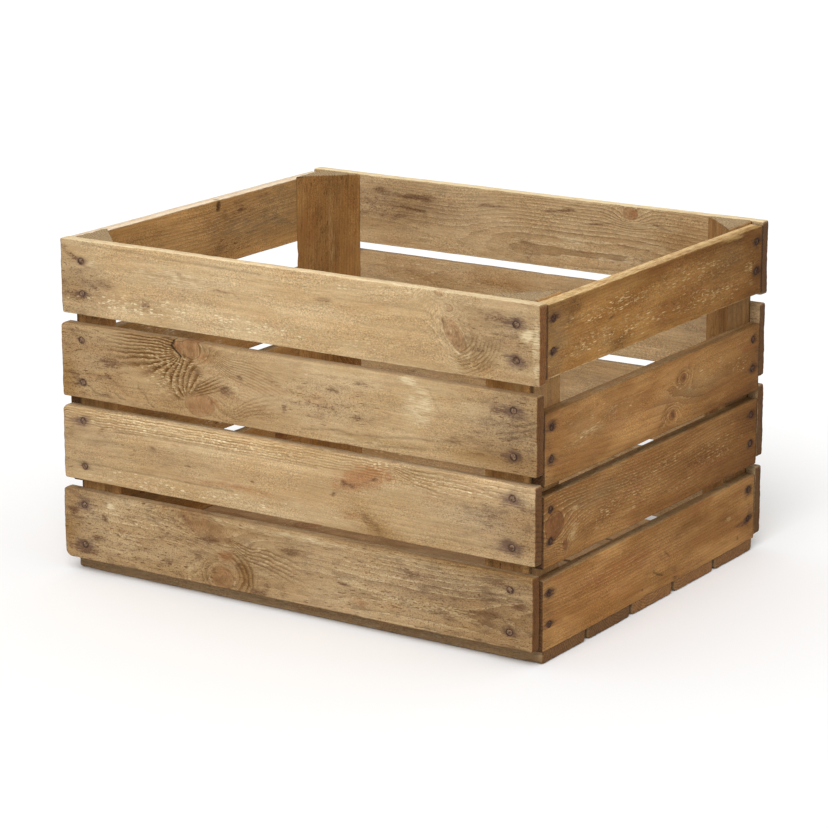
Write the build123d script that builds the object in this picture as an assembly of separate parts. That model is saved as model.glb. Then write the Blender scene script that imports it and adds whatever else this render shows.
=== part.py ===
from build123d import *

import os

# A nailed softwood harvest crate. X runs along its length, Y towards its back and Z up from the ground.
# The origin is on the ground, under the middle of the crate. All sizes are in millimetres.

# Overall size
CRATE_LENGTH = 498.0
CRATE_WIDTH = 405.0
CRATE_HEIGHT = 310.0

# Long slats of the front and back, listed from the bottom row to the top row
SIDE_SLAT_THICKNESS = 10.0
SIDE_SLAT_LIFT = 3.0
SIDE_SLAT_GAPS = (10.0, 8.5, 9.0)
BOTTOM_SLAT_TRIM = 3.0
FRONT_STAGGER = (-2.5, -0.5, 0.5, 2.5)
BACK_STAGGER = (-0.5, 0.0, -0.5, 0.5)

# Short slats of the two ends, which fit between the long sides, from the bottom row to the top row
END_SLAT_THICKNESSES = (10.0, 10.5, 11.0, 12.0)
END_SLAT_INSIDE = 10.8
END_SLAT_CLEARANCE = 1.0
END_SLAT_DROP = 2.5
END_SLAT_GAPS = (10.0, 8.5)
HAND_HOLD_GAP = 29.0

# Corner posts of triangular section
POST_LEG = 45.0
POST_BLUNT = 2.0

# Floor boards, which run lengthwise
FLOOR_THICKNESS = 10.5
FLOOR_BOARD_COUNT = 5
FLOOR_BOARD_GAP = 5.0
FLOOR_SIDE_CLEARANCE = 3.5
FLOOR_END_SETBACK = 0.5

# Sawn edges
CORNER_RADIUS = 2.0
EDGE_ROUND = 0.8

# Wire nails
NAIL_LENGTH = 22.0
NAIL_DIAMETER = 2.2
NAIL_HEAD_DIAMETER = 5.5
NAIL_HEAD_THICKNESS = 1.0
NAIL_POINT = 4.0
NAIL_SINK = 0.3
NAIL_CLEARANCE = 0.03

# Nail places, from the end or edge of the board that the nail goes through
SIDE_NAIL_INSET = 23.0
SIDE_NAIL_EDGE_INSETS = (14.0, 13.0, 14.5, 19.0)
END_NAIL_INSET = 12.5
END_NAIL_LOW_INSET = 22.0
END_NAIL_HIGH_INSET = 13.0
FLOOR_NAIL_INSET = 14.0
POST_NAIL_FROM_END = 20.0
POST_NAIL_FROM_SIDE = 12.0

# Faces that the pieces share
side_outer_y = CRATE_WIDTH / 2
side_inner_y = side_outer_y - SIDE_SLAT_THICKNESS
end_inner_x = CRATE_LENGTH / 2 - END_SLAT_INSIDE
floor_top_z = FLOOR_THICKNESS

ROW_NAMES = ("bottom", "lower", "upper", "top")


def stacked_rows(low, high, gaps, bottom_trim=0.0):
    """Lower and upper edges of the rows of slats between two heights, with the given gaps between them."""
    row_count = len(gaps) + 1
    full_width = (high - low - sum(gaps) + bottom_trim) / row_count
    widths = [full_width - bottom_trim] + [full_width] * len(gaps)
    rows = []
    edge = low
    for width, gap in zip(widths, (*gaps, 0.0)):
        rows.append((edge, edge + width))
        edge += width + gap
    return rows


def sawn_board(length, width, thickness):
    """Board that lies flat on XY, centred, with soft corners and edges."""
    outline = RectangleRounded(length, width, CORNER_RADIUS)
    board = Pos(Z=-thickness / 2) * extrude(outline, thickness)
    faces = board.faces().sort_by(Axis.Z)
    return fillet(faces[0].edges() + faces[-1].edges(), EDGE_ROUND)


def turned_nail(clearance=0.0, mouth=0.0):
    """Nail that points down from the head's upper face at Z 0, or the hole for it with an open mouth."""
    head = NAIL_HEAD_DIAMETER / 2 + clearance
    shank = NAIL_DIAMETER / 2 + clearance
    neck = -NAIL_HEAD_THICKNESS - clearance
    tip = -NAIL_LENGTH - clearance
    profile = Polyline(
        (0, mouth),
        (head, mouth),
        (head, neck),
        (shank, neck),
        (shank, tip + NAIL_POINT),
        (0, tip),
        close=True,
    )
    return revolve(Plane.XZ * make_face(profile), Axis.Z)


def driven(face_point, outward):
    """Place of a nail whose head is sunk under a board's face at a point."""
    sunk = Vector(*face_point) - Vector(*outward) * NAIL_SINK
    return Plane(origin=sunk, z_dir=outward)


def nailed(solid, places):
    """The solid with a hole for each of the nails."""
    return solid - [place * nail_hole for place in places]


nail = turned_nail()
nail_hole = turned_nail(NAIL_CLEARANCE, 2 * NAIL_SINK)

pieces = {}
nail_places = {}

# Front and back slats, with two nails at each end
side_low = floor_top_z + SIDE_SLAT_LIFT
side_rows = stacked_rows(side_low, CRATE_HEIGHT, SIDE_SLAT_GAPS, BOTTOM_SLAT_TRIM)
side_nail_x = CRATE_LENGTH / 2 - SIDE_NAIL_INSET
for side, facing, staggers in (("front", -1, FRONT_STAGGER), ("back", 1, BACK_STAGGER)):
    nail_places[side + "_nails"] = []
    rows = zip(ROW_NAMES, side_rows, staggers, SIDE_NAIL_EDGE_INSETS)
    for row_name, (low, high), stagger, edge_inset in rows:
        places = [
            driven((stagger + end * side_nail_x, facing * side_outer_y, height), (0, facing, 0))
            for end in (-1, 1)
            for height in (low + edge_inset, high - edge_inset)
        ]
        middle = Pos(stagger, facing * (side_outer_y + side_inner_y) / 2, (low + high) / 2)
        board = middle * Rot(X=90) * sawn_board(CRATE_LENGTH, high - low, SIDE_SLAT_THICKNESS)
        pieces[f"{side}_{row_name}_slat"] = nailed(board, places)
        nail_places[side + "_nails"] += places

# Floor boards' nails, which rise into the end slats' lower edges and the posts' feet
floor_half_width = side_inner_y - FLOOR_SIDE_CLEARANCE
floor_gaps = FLOOR_BOARD_GAP * (FLOOR_BOARD_COUNT - 1)
floor_board_width = (2 * floor_half_width - floor_gaps) / FLOOR_BOARD_COUNT
floor_middles = [
    -floor_half_width + floor_board_width / 2 + index * (floor_board_width + FLOOR_BOARD_GAP)
    for index in range(FLOOR_BOARD_COUNT)
]
floor_nail_x = end_inner_x + END_SLAT_THICKNESSES[0] / 2
post_nail_x = end_inner_x - POST_NAIL_FROM_END
post_nail_y = side_inner_y - POST_NAIL_FROM_SIDE
floor_nail_reach = floor_board_width / 2 - FLOOR_NAIL_INSET
floor_slat_places = [
    driven((end * floor_nail_x, middle + edge * floor_nail_reach, 0), (0, 0, -1))
    for middle in floor_middles
    for end in (-1, 1)
    for edge in (-1, 1)
]
floor_post_places = [
    driven((end * post_nail_x, facing * post_nail_y, 0), (0, 0, -1))
    for end in (-1, 1)
    for facing in (-1, 1)
]
nail_places["floor_nails"] = floor_slat_places + floor_post_places

# End slats, with the hand-hold gap under the top one
end_rows = stacked_rows(floor_top_z, CRATE_HEIGHT - END_SLAT_DROP, (*END_SLAT_GAPS, HAND_HOLD_GAP))
end_half_length = side_inner_y - END_SLAT_CLEARANCE
for side, facing in (("left_end", -1), ("right_end", 1)):
    nail_places[side + "_nails"] = []
    for row_name, (low, high), thickness in zip(ROW_NAMES, end_rows, END_SLAT_THICKNESSES):
        outer_x = end_inner_x + thickness
        places = [
            driven((facing * outer_x, end * (end_half_length - END_NAIL_INSET), height), (facing, 0, 0))
            for end in (-1, 1)
            for height in (low + END_NAIL_LOW_INSET, high - END_NAIL_HIGH_INSET)
        ]
        middle = Pos(facing * (outer_x + end_inner_x) / 2, 0, (low + high) / 2)
        board = sawn_board(2 * end_half_length, high - low, thickness)
        board = middle * Rot(Z=90) * Rot(X=90) * board
        through = places + floor_slat_places if row_name == ROW_NAMES[0] else places
        pieces[f"{side}_{row_name}_slat"] = nailed(board, through)
        nail_places[side + "_nails"] += places

# Corner posts, from the floor boards up to the rim
all_places = [place for places in nail_places.values() for place in places]
post_height = CRATE_HEIGHT - floor_top_z
post_section = ((0, 0), (POST_LEG, 0), (POST_LEG, POST_BLUNT), (POST_BLUNT, POST_LEG), (0, POST_LEG))
for end_name, end in (("left", -1), ("right", 1)):
    for side, facing in (("front", -1), ("back", 1)):
        corners = [
            (end * (end_inner_x - along), facing * (side_inner_y - across))
            for along, across in post_section
        ]
        post = extrude(make_face(Polyline(*corners, close=True)), post_height, dir=(0, 0, 1))
        near = [
            place
            for place in all_places
            if end * place.origin.X > 0 and facing * place.origin.Y > 0
        ]
        pieces[f"{side}_{end_name}_post"] = nailed(Pos(Z=floor_top_z) * post, near)

# Floor boards
floor_half_length = end_inner_x + END_SLAT_THICKNESSES[0] - FLOOR_END_SETBACK
for index, middle in enumerate(floor_middles):
    board = sawn_board(2 * floor_half_length, floor_board_width, FLOOR_THICKNESS)
    near = [
        place
        for place in nail_places["floor_nails"]
        if abs(place.origin.Y - middle) < floor_board_width / 2
    ]
    pieces[f"floor_board_{index + 1}"] = nailed(Pos(0, middle, FLOOR_THICKNESS / 2) * board, near)

# Nails, one group for each side of the crate
for name, places in nail_places.items():
    pieces[name] = Compound(children=[place * nail for place in places])

os.makedirs("parts", exist_ok=True)
for name, piece in pieces.items():
    export_step(piece, f"parts/{name}.step")
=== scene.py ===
import itertools
import math

import bpy
import numpy as np
from mathutils import Matrix, Vector


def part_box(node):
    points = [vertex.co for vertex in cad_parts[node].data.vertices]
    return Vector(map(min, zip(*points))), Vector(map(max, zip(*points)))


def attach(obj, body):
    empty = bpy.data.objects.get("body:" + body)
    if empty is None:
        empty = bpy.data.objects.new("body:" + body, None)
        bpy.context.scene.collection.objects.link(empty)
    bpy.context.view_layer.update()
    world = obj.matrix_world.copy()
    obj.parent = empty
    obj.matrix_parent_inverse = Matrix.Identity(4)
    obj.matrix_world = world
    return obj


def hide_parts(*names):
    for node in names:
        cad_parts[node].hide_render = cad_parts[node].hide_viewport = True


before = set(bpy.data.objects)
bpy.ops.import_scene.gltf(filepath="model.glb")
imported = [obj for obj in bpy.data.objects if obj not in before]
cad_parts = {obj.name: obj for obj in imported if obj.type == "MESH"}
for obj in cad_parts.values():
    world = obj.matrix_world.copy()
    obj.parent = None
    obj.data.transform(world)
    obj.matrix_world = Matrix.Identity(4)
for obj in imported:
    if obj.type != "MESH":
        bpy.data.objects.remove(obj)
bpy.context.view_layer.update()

# The wood is worked out in millimetres and written in metres
MM = 0.001

# Camera fitted to the corners of the slats in the photo
CAMERA_AZIMUTH = math.radians(33.365)
CAMERA_ELEVATION = math.radians(15.064)
CAMERA_ROLL = math.radians(-0.19)
CAMERA_DISTANCE = 2.7701
CAMERA_TARGET = Vector((0.01782, -0.03286, 0.1473))
CAMERA_FOCAL_PIXELS = 3074.9
IMAGE_PIXELS = 828
SENSOR_MM = 36.0

# Light and floor
WORLD_STRENGTH = 0.7
KEY_DIRECTION = Vector((0.2, -0.62, 0.76))
KEY_STRENGTH = 1.75
KEY_SPREAD = math.radians(40.0)
FLOOR_SIZE = 60.0
FLOOR_DROP = 0.0006
FLOOR_BOUNCE = 0.5
FLOOR_SHOWN = 0.95

# Nails, as in the CAD model, in millimetres
NAIL_HEAD_RADIUS = 2.75
NAIL_SHANK_RADIUS = 1.1
NAIL_LENGTH = 22.0
NAIL_HEAD_THICKNESS = 1.0
NAIL_POINT = 4.0

# How the nails are found and shaped
NAIL_CLUSTER = 8.0
NAIL_TOP_DEPTH = 0.05
NAIL_SEGMENTS = 22
NAIL_DOME = 0.3
NAIL_MIDDLE_DROP = 0.1
NAIL_TILT = 0.05
NAIL_DENT = 0.07

# How uneven a nail is: how far, lobes in a turn, and turn from one nail to the next
NAIL_LOBES = ((0.05, 2.0, 1.0), (0.03, 5.0, 2.0))

# Radius and level of a nail's rings, from its head to its tip
NAIL_PROFILE = (
    (0.35 * NAIL_HEAD_RADIUS, 0.92 * NAIL_DOME),
    (0.65 * NAIL_HEAD_RADIUS, 0.6 * NAIL_DOME),
    (0.88 * NAIL_HEAD_RADIUS, 0.1 * NAIL_DOME),
    (NAIL_HEAD_RADIUS, -0.35 * NAIL_HEAD_THICKNESS),
    (0.96 * NAIL_HEAD_RADIUS, -0.8 * NAIL_HEAD_THICKNESS),
    (NAIL_SHANK_RADIUS, -NAIL_HEAD_THICKNESS),
    (NAIL_SHANK_RADIUS, NAIL_POINT - NAIL_LENGTH),
    (0.15 * NAIL_SHANK_RADIUS, -NAIL_LENGTH),
)

# Mesh spacing in millimetres: coarse, finer on the sides in sight, finest near edges, nails and cracks
STATION_SPACING = 2.3
FACE_SPACING = 1.6
SEEN_STATION_SPACING = 1.35
SEEN_FACE_SPACING = 1.2
EDGE_SPACING = 0.4
FINE_SPACING = 0.9
SPACING_GROWTH = 0.3
SPACING_SAMPLES = 16
END_REACH = 1.5
EDGE_REACH = 1.2
NAIL_REACH_ALONG = 4.0
NAIL_REACH_ACROSS = 3.5
CRACK_REACH = 6.0

# Wear of the sawn wood, in millimetres
CORNER_ROUND = 0.6
CORNER_ROUND_LEAST = 0.25
CORNER_ROUND_MOST_SHARE = 0.9
BOARD_CORNER_RADIUS = 2.0
END_ROUND = 0.7
RAGGED_REACH = 25.0
OUTER_SHARE = 0.6
CRACK_OPEN = (0.5, 1.5)
CRACK_DEPTH = 0.7
DIMPLE_REACH = (NAIL_HEAD_RADIUS, 2.4 * NAIL_HEAD_RADIUS)
DIMPLE_DEPTH = 0.4
KNOT_RISE = 0.22
RIDGE_DEPTH = 0.32
RIDGE_VALLEY = 0.15

# Too small to matter, and never zero
TINY_LENGTH = 1e-9
TINY_SHARE = 1e-12

# Noise in the wood: how strong it is, patch size along each axis in millimetres, seed, layers, gain
BAR_NOISE = {
    "fibre": (0.16, (32, 3.4, 3.4), 0, 3),
    "saw": (0.08, (5, 9, 9), 5, 2),
    "end_round": (0.5, (6, 6, 1), 9, 2),
    "ragged": (0.7, (11, 7, 1), 11, 4, 0.65),
    "cap": (0.3, (2.2, 4, 1), 13, 3),
    "upper_edge": (0.5, (75,), 21, 4),
    "lower_edge": (0.5, (75,), 25, 4),
    "bow": (0.25, (240,), 31, 2),
    "corner": (0.35, (22,), 40, 3),
    "corner_fine": (0.35, (4.5,), 44, 2),
    "blot_u": (5, (11, 6, 9), 47, 3),
    "blot_v": (2.4, (11, 6, 9), 48, 3),
    "sway": (1.6, (120,), 51, 3),
    "drift": (0.02, (400,), 55, 1),
    "knot": (0.13, (6, 6, 6), 61, 3),
    "pith_v": (14, (260,), 71, 2),
    "pith_w": (9, (180,), 75, 2),
    "ridge": (0.3, (13, 13), 91, 3),
    "bend_u": (1, (13, 13), 92, 3),
    "bend_v": (1, (13, 13), 93, 3),
}

# Where looks change, as distances in millimetres from full to none
FACE_TURN = 2.0
CRACK_TINT = (0.4, 1.5)
# Reach of the painted shade along the posts' edges, where they meet the slats
EDGE_CREVICE_SHADE_REACH = (1.0, 3.6)
LONG_EDGE_REACH = (0.2, 0.9)
RIM_REACH = (0.4, 2.6)
TIP_REACH = (2.0, 30.0)
SAWN_END_REACH = (0.05, 1.2)

# How strong looks are
# Pale rims: worn pale wood, and on the top slats a painted highlight
RIM_PALE_AND_HIGHLIGHT = 0.4
TIP_DIRT = 0.5
DARK_SHADE = 0.5
FIGURE_MOST = 1.6

# How far the grain's pattern moves for each step of a bar's seed
GRAIN_SHIFT = (37.0, 18.5, 9.25)

# Marks with ragged outlines
BLOT_KINDS = ("pales", "greys", "dirts", "darks", "stains", "flecks", "warms")

# Knots: reach of the bent and of the marked grain in knots' sizes, how much they change it, and their rings
KNOT_FLOW = (2.4, 1.9)
KNOT_FIGURE = (3.0, 2.2)
KNOT_FIGURE_SHARE = 0.5
KNOT_PUSH = 0.8
KNOT_RINGS = 3.0
KNOT_RING_WIDTH = 2.1

# Rust round the nails: its size, and its core, run and streak along the grain
HALO_LEAST = 0.85
HALO_VARIES = 0.3
HALO_STRETCH = 1.3
HALO_CORE_START = 0.9 * NAIL_HEAD_RADIUS
HALO_CORE_GROWTH = 1.2
HALO_RUN = 0.82
HALO_RUN_ALONG = 10.0
HALO_RUN_ACROSS = 5.2
HALO_STREAK = 0.45
HALO_STREAK_ALONG = 17.0
HALO_STREAK_ACROSS = 2.6
# Painted shadow in a ring round each nail head, set off to one side: how dark, its reach, its shift and the
# turn from one nail to the next
NAIL_RING_SHADE = 0.75
NAIL_RING_SHADE_REACH = (NAIL_HEAD_RADIUS, 1.35 * NAIL_HEAD_RADIUS)
NAIL_RING_SHADE_SHIFT = 0.45
NAIL_TURN = 2.7


# Noise

CELL_MIDDLE = 0.5
HASH_FACTORS = (73856093, 19349663, 83492791)
HASH_SEED_FACTOR = 49979687
HASH_ROUNDS = ((13, 1274126177), (15, 2246822519))
HASH_LAST_SHIFT = 16
HASH_WORD = 0xFFFFFFFF
HASH_RANGE = 0xFFFFFF


def hashed(cell, seed):
    """Numbers from 0 to 1 that belong to whole-number lattice points."""
    mixed = seed * HASH_SEED_FACTOR
    for axis, factor in enumerate(HASH_FACTORS):
        mixed = mixed ^ cell[..., axis] * factor
    for shift, factor in HASH_ROUNDS:
        mixed = (mixed ^ (mixed >> shift)) * factor & HASH_WORD
    return ((mixed ^ (mixed >> HASH_LAST_SHIFT)) & HASH_RANGE) / HASH_RANGE


def smooth_noise(points, seed):
    """Smooth noise from -1 to 1."""
    cell = np.floor(points).astype(np.int64)
    part = points - cell
    part = part * part * (3.0 - 2.0 * part)
    total = np.zeros(points.shape[:-1])
    for corner in itertools.product((0, 1), repeat=3):
        weight = np.prod(np.where(corner, part, 1.0 - part), axis=-1)
        total += weight * hashed(cell + np.array(corner), seed)
    return 2.0 * total - 1.0


def layered(points, seed, layers, gain=0.5):
    """Noise of several sizes added up, about -1 to 1."""
    total = 0.0
    reach = 0.0
    for layer in range(layers):
        total = total + gain**layer * smooth_noise(points * 2.0**layer, seed + layer)
        reach += gain**layer
    return total / reach


def ramp(value, low, high):
    """Rises smoothly from 0 at low to 1 at high."""
    part = np.clip((value - low) / (high - low), 0.0, 1.0)
    return part * part * (3.0 - 2.0 * part)


def fade(value, low, high):
    """Falls smoothly from 1 at low to 0 at high."""
    return 1.0 - ramp(value, low, high)


def spread(half, coarse, spots):
    """Places from -half to half, coarse apart, and closer round spots of (place, reach, spacing)."""
    fine = np.linspace(-half, half, int(half * SPACING_SAMPLES) + 1)
    spacing = np.full_like(fine, coarse)
    for place, reach, close in spots:
        beyond = np.maximum(np.abs(fine - place) - reach, 0.0)
        spacing = np.minimum(spacing, close + SPACING_GROWTH * beyond)
    steps = np.diff(fine) * 0.5 * (1.0 / spacing[1:] + 1.0 / spacing[:-1])
    count = np.concatenate([[0.0], np.cumsum(steps)])
    return np.interp(np.linspace(0.0, count[-1], math.ceil(count[-1]) + 1), count, fine)


# Sawn wood as a mesh: a four-cornered section along u, with v across and w through it


def rounded_outline(corners, fractions, radii):
    """Points round a four-cornered section with rounded corners: stations x points x 2."""
    steps = np.roll(corners, -1, axis=0) - corners
    lengths = np.linalg.norm(steps, axis=1)
    ways = steps / lengths[:, None]
    sides = []
    for k in range(4):
        place = fractions[k][:-1] * lengths[k]
        left = lengths[k] - place
        first = radii[:, k, None]
        last = radii[:, (k + 1) % 4, None]
        turn = (np.minimum(place / first, 1.0) + 1.0) / 2.0
        turn_next = (1.0 - np.minimum(left / last, 1.0)) / 2.0
        along = first * turn**2 - np.minimum(place, first)
        along = along - last * (1.0 - turn_next) ** 2 + np.minimum(left, last)
        points = corners[k] + (place + along)[..., None] * ways[k]
        points = points - (first * (1.0 - turn) ** 2)[..., None] * ways[k - 1]
        points = points + (last * turn_next**2)[..., None] * ways[(k + 1) % 4]
        sides.append(points)
    return np.concatenate(sides, axis=1)


def ring_lattice(across, through):
    """Numbers of the ring's points on the rim of an end's lattice: across x through, -1 inside it."""
    lattice = np.full((across, through), -1)
    a, t = np.arange(across), np.arange(through)
    lattice[:, 0] = a
    lattice[-1, :] = across - 1 + t
    lattice[:, -1] = across + through - 2 + (across - 1 - a)
    lattice[0, 1:] = 2 * (across - 1) + through - 1 + (through - 1 - t[1:])
    return lattice


def quads(lattice):
    """Faces of a lattice of point numbers."""
    corners = (lattice[:-1, :-1], lattice[1:, :-1], lattice[1:, 1:], lattice[:-1, 1:])
    return np.stack(corners, -1).reshape(-1, 4)


def coons(ring, lattice):
    """Points of an end's lattice, filled in from its rim."""
    low, high = ring[lattice[:, 0]], ring[lattice[:, -1]]
    first, last = ring[lattice[0, :]], ring[lattice[-1, :]]
    a = np.linspace(0.0, 1.0, lattice.shape[0])[:, None, None]
    t = np.linspace(0.0, 1.0, lattice.shape[1])[None, :, None]
    edges = (1 - t) * low[:, None] + t * high[:, None] + (1 - a) * first[None] + a * last[None]
    bottom = (1 - a) * low[0] + a * low[-1]
    top = (1 - a) * high[0] + a * high[-1]
    return edges - (1 - t) * bottom - t * top


def falloff(u, v, spot):
    """1 at the middle of a spot (u, v, reach along, reach across, strength, turn), falling to 0 round it."""
    turn = math.radians(spot[5]) if len(spot) > 5 else 0.0
    du, dv = u - spot[0], v - spot[1]
    along = (du * math.cos(turn) + dv * math.sin(turn)) / spot[2]
    across = (dv * math.cos(turn) - du * math.sin(turn)) / spot[3]
    return np.exp(-(along**2) - across**2)


def path_distance(u, v, path):
    """Distance to a line of (u, v) points."""
    best = np.full(u.shape, np.inf)
    for (u0, v0), (u1, v1) in zip(path[:-1], path[1:]):
        du, dv = u1 - u0, v1 - v0
        part = np.clip(((u - u0) * du + (v - v0) * dv) / (du * du + dv * dv), 0.0, 1.0)
        best = np.minimum(best, np.hypot(u - u0 - part * du, v - v0 - part * dv))
    return best


# Bundles of grain that bends round knots, with distances in millimetres

PLUME_BEND_REACH = 13.0
PLUME_ROOT = 0.5
PLUME_START = (1.0, 7.0)
PLUME_FADE_SHARE = 0.45
PLUME_CORE = (0.55, 1.0)
STREAM_SOFT = 5.0
STREAM_DENSE = (0.05, 0.13)
STREAM_BULGE_SHARE = 0.7
STREAM_BELOW = (-3.0, 6.0)
STREAM_START = (1.5, 5.0)
STREAM_STOP = (2.0, 7.0)
STREAM_FADE_SHARE = 0.4
STREAM_LEAST = 0.01
STREAM_LEAST_SINE = 1e-3
SWIRL_START = 2.0
SWIRL_SIDE_SHARE = 0.6


def plume(u, v, root_u, root_v, way, length, width, pitch, meet, share, bend_at, bend):
    """Lines that spread from a root and level out: their phase and strength."""
    turn = math.radians(way)
    du, dv = u - root_u, v - root_v
    along = du * math.cos(turn) + dv * math.sin(turn)
    across = dv * math.cos(turn) - du * math.sin(turn)
    across = across + bend * np.exp(-(((along - bend_at) / PLUME_BEND_REACH) ** 2))
    opened = 1.0 - np.exp(-np.maximum(along, PLUME_ROOT) / meet)
    ends = ramp(along, *PLUME_START) * fade(along, PLUME_FADE_SHARE * length, length)
    sides = fade(np.abs(across) / (width * opened), *PLUME_CORE)
    return across / (pitch * opened), share * ends * sides


def stream(u, v, u0, v0, u1, v1, count, high, low, level, reach, bulge, share):
    """Lines along the board that close in on one place and leap on to another: their phase and strength."""
    du0, dv0 = u - u0, v - v0
    du1, dv1 = u - u1, v - v1
    near, far = np.hypot(du0, dv0) + STREAM_LEAST, np.hypot(du1, dv1) + STREAM_LEAST
    pull = count / (2.0 * math.pi)
    steady = low * v + (high - low) * STREAM_SOFT * np.logaddexp(0.0, (v - level) / STREAM_SOFT)
    phase = steady + pull * (np.arctan2(-du1, dv1) - np.arctan2(-dv0, -du0))
    rise = low + (high - low) / (1.0 + np.exp((level - v) / STREAM_SOFT))
    speed_u = rise - pull * du0 / near**2 + pull * du1 / far**2
    speed_v = pull * dv1 / far**2 - pull * dv0 / near**2
    dense = ramp(np.hypot(speed_u, speed_v), *STREAM_DENSE)
    half = math.hypot(u1 - u0, v1 - v0) / 2.0
    turn = np.arctan2(du0 * dv1 - dv0 * du1, du0 * du1 + dv0 * dv1)
    sine = np.sin(turn / 2.0)
    side = half * np.cos(turn / 2.0) / np.where(np.abs(sine) < STREAM_LEAST_SINE, STREAM_LEAST_SINE, sine)
    kept = fade(side, STREAM_BULGE_SHARE * bulge, bulge) * fade(v1 - v, *STREAM_BELOW)
    ends = ramp(near, *STREAM_START) * ramp(far, *STREAM_STOP) * fade(near, STREAM_FADE_SHARE * reach, reach)
    return phase, share * dense * kept * ends


def swirl(u, v, u0, v0, stretch, inner, outer, pitch, way, spread_angle, share):
    """Arcs round a place, on the side that they face: their phase and strength."""
    du, dv = (u - u0) / stretch, v - v0
    radius = np.hypot(du, dv)
    off = np.abs((np.degrees(np.arctan2(dv, du)) - way + 180.0) % 360.0 - 180.0)
    depth = ramp(radius, inner, inner + SWIRL_START) * fade(radius, (inner + outer) / 2.0, outer)
    return radius / pitch, share * depth * fade(off, SWIRL_SIDE_SHARE * spread_angle, spread_angle)


# Kinds of bundles, and how far their lines stray
BUNDLES = {"plumes": (plume, 1.2), "streams": (stream, 1.6), "swirls": (swirl, 2.5)}


def box_mm(node):
    """Lowest and highest corner of a CAD node, in millimetres."""
    return [np.array(corner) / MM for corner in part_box(node)]


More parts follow.
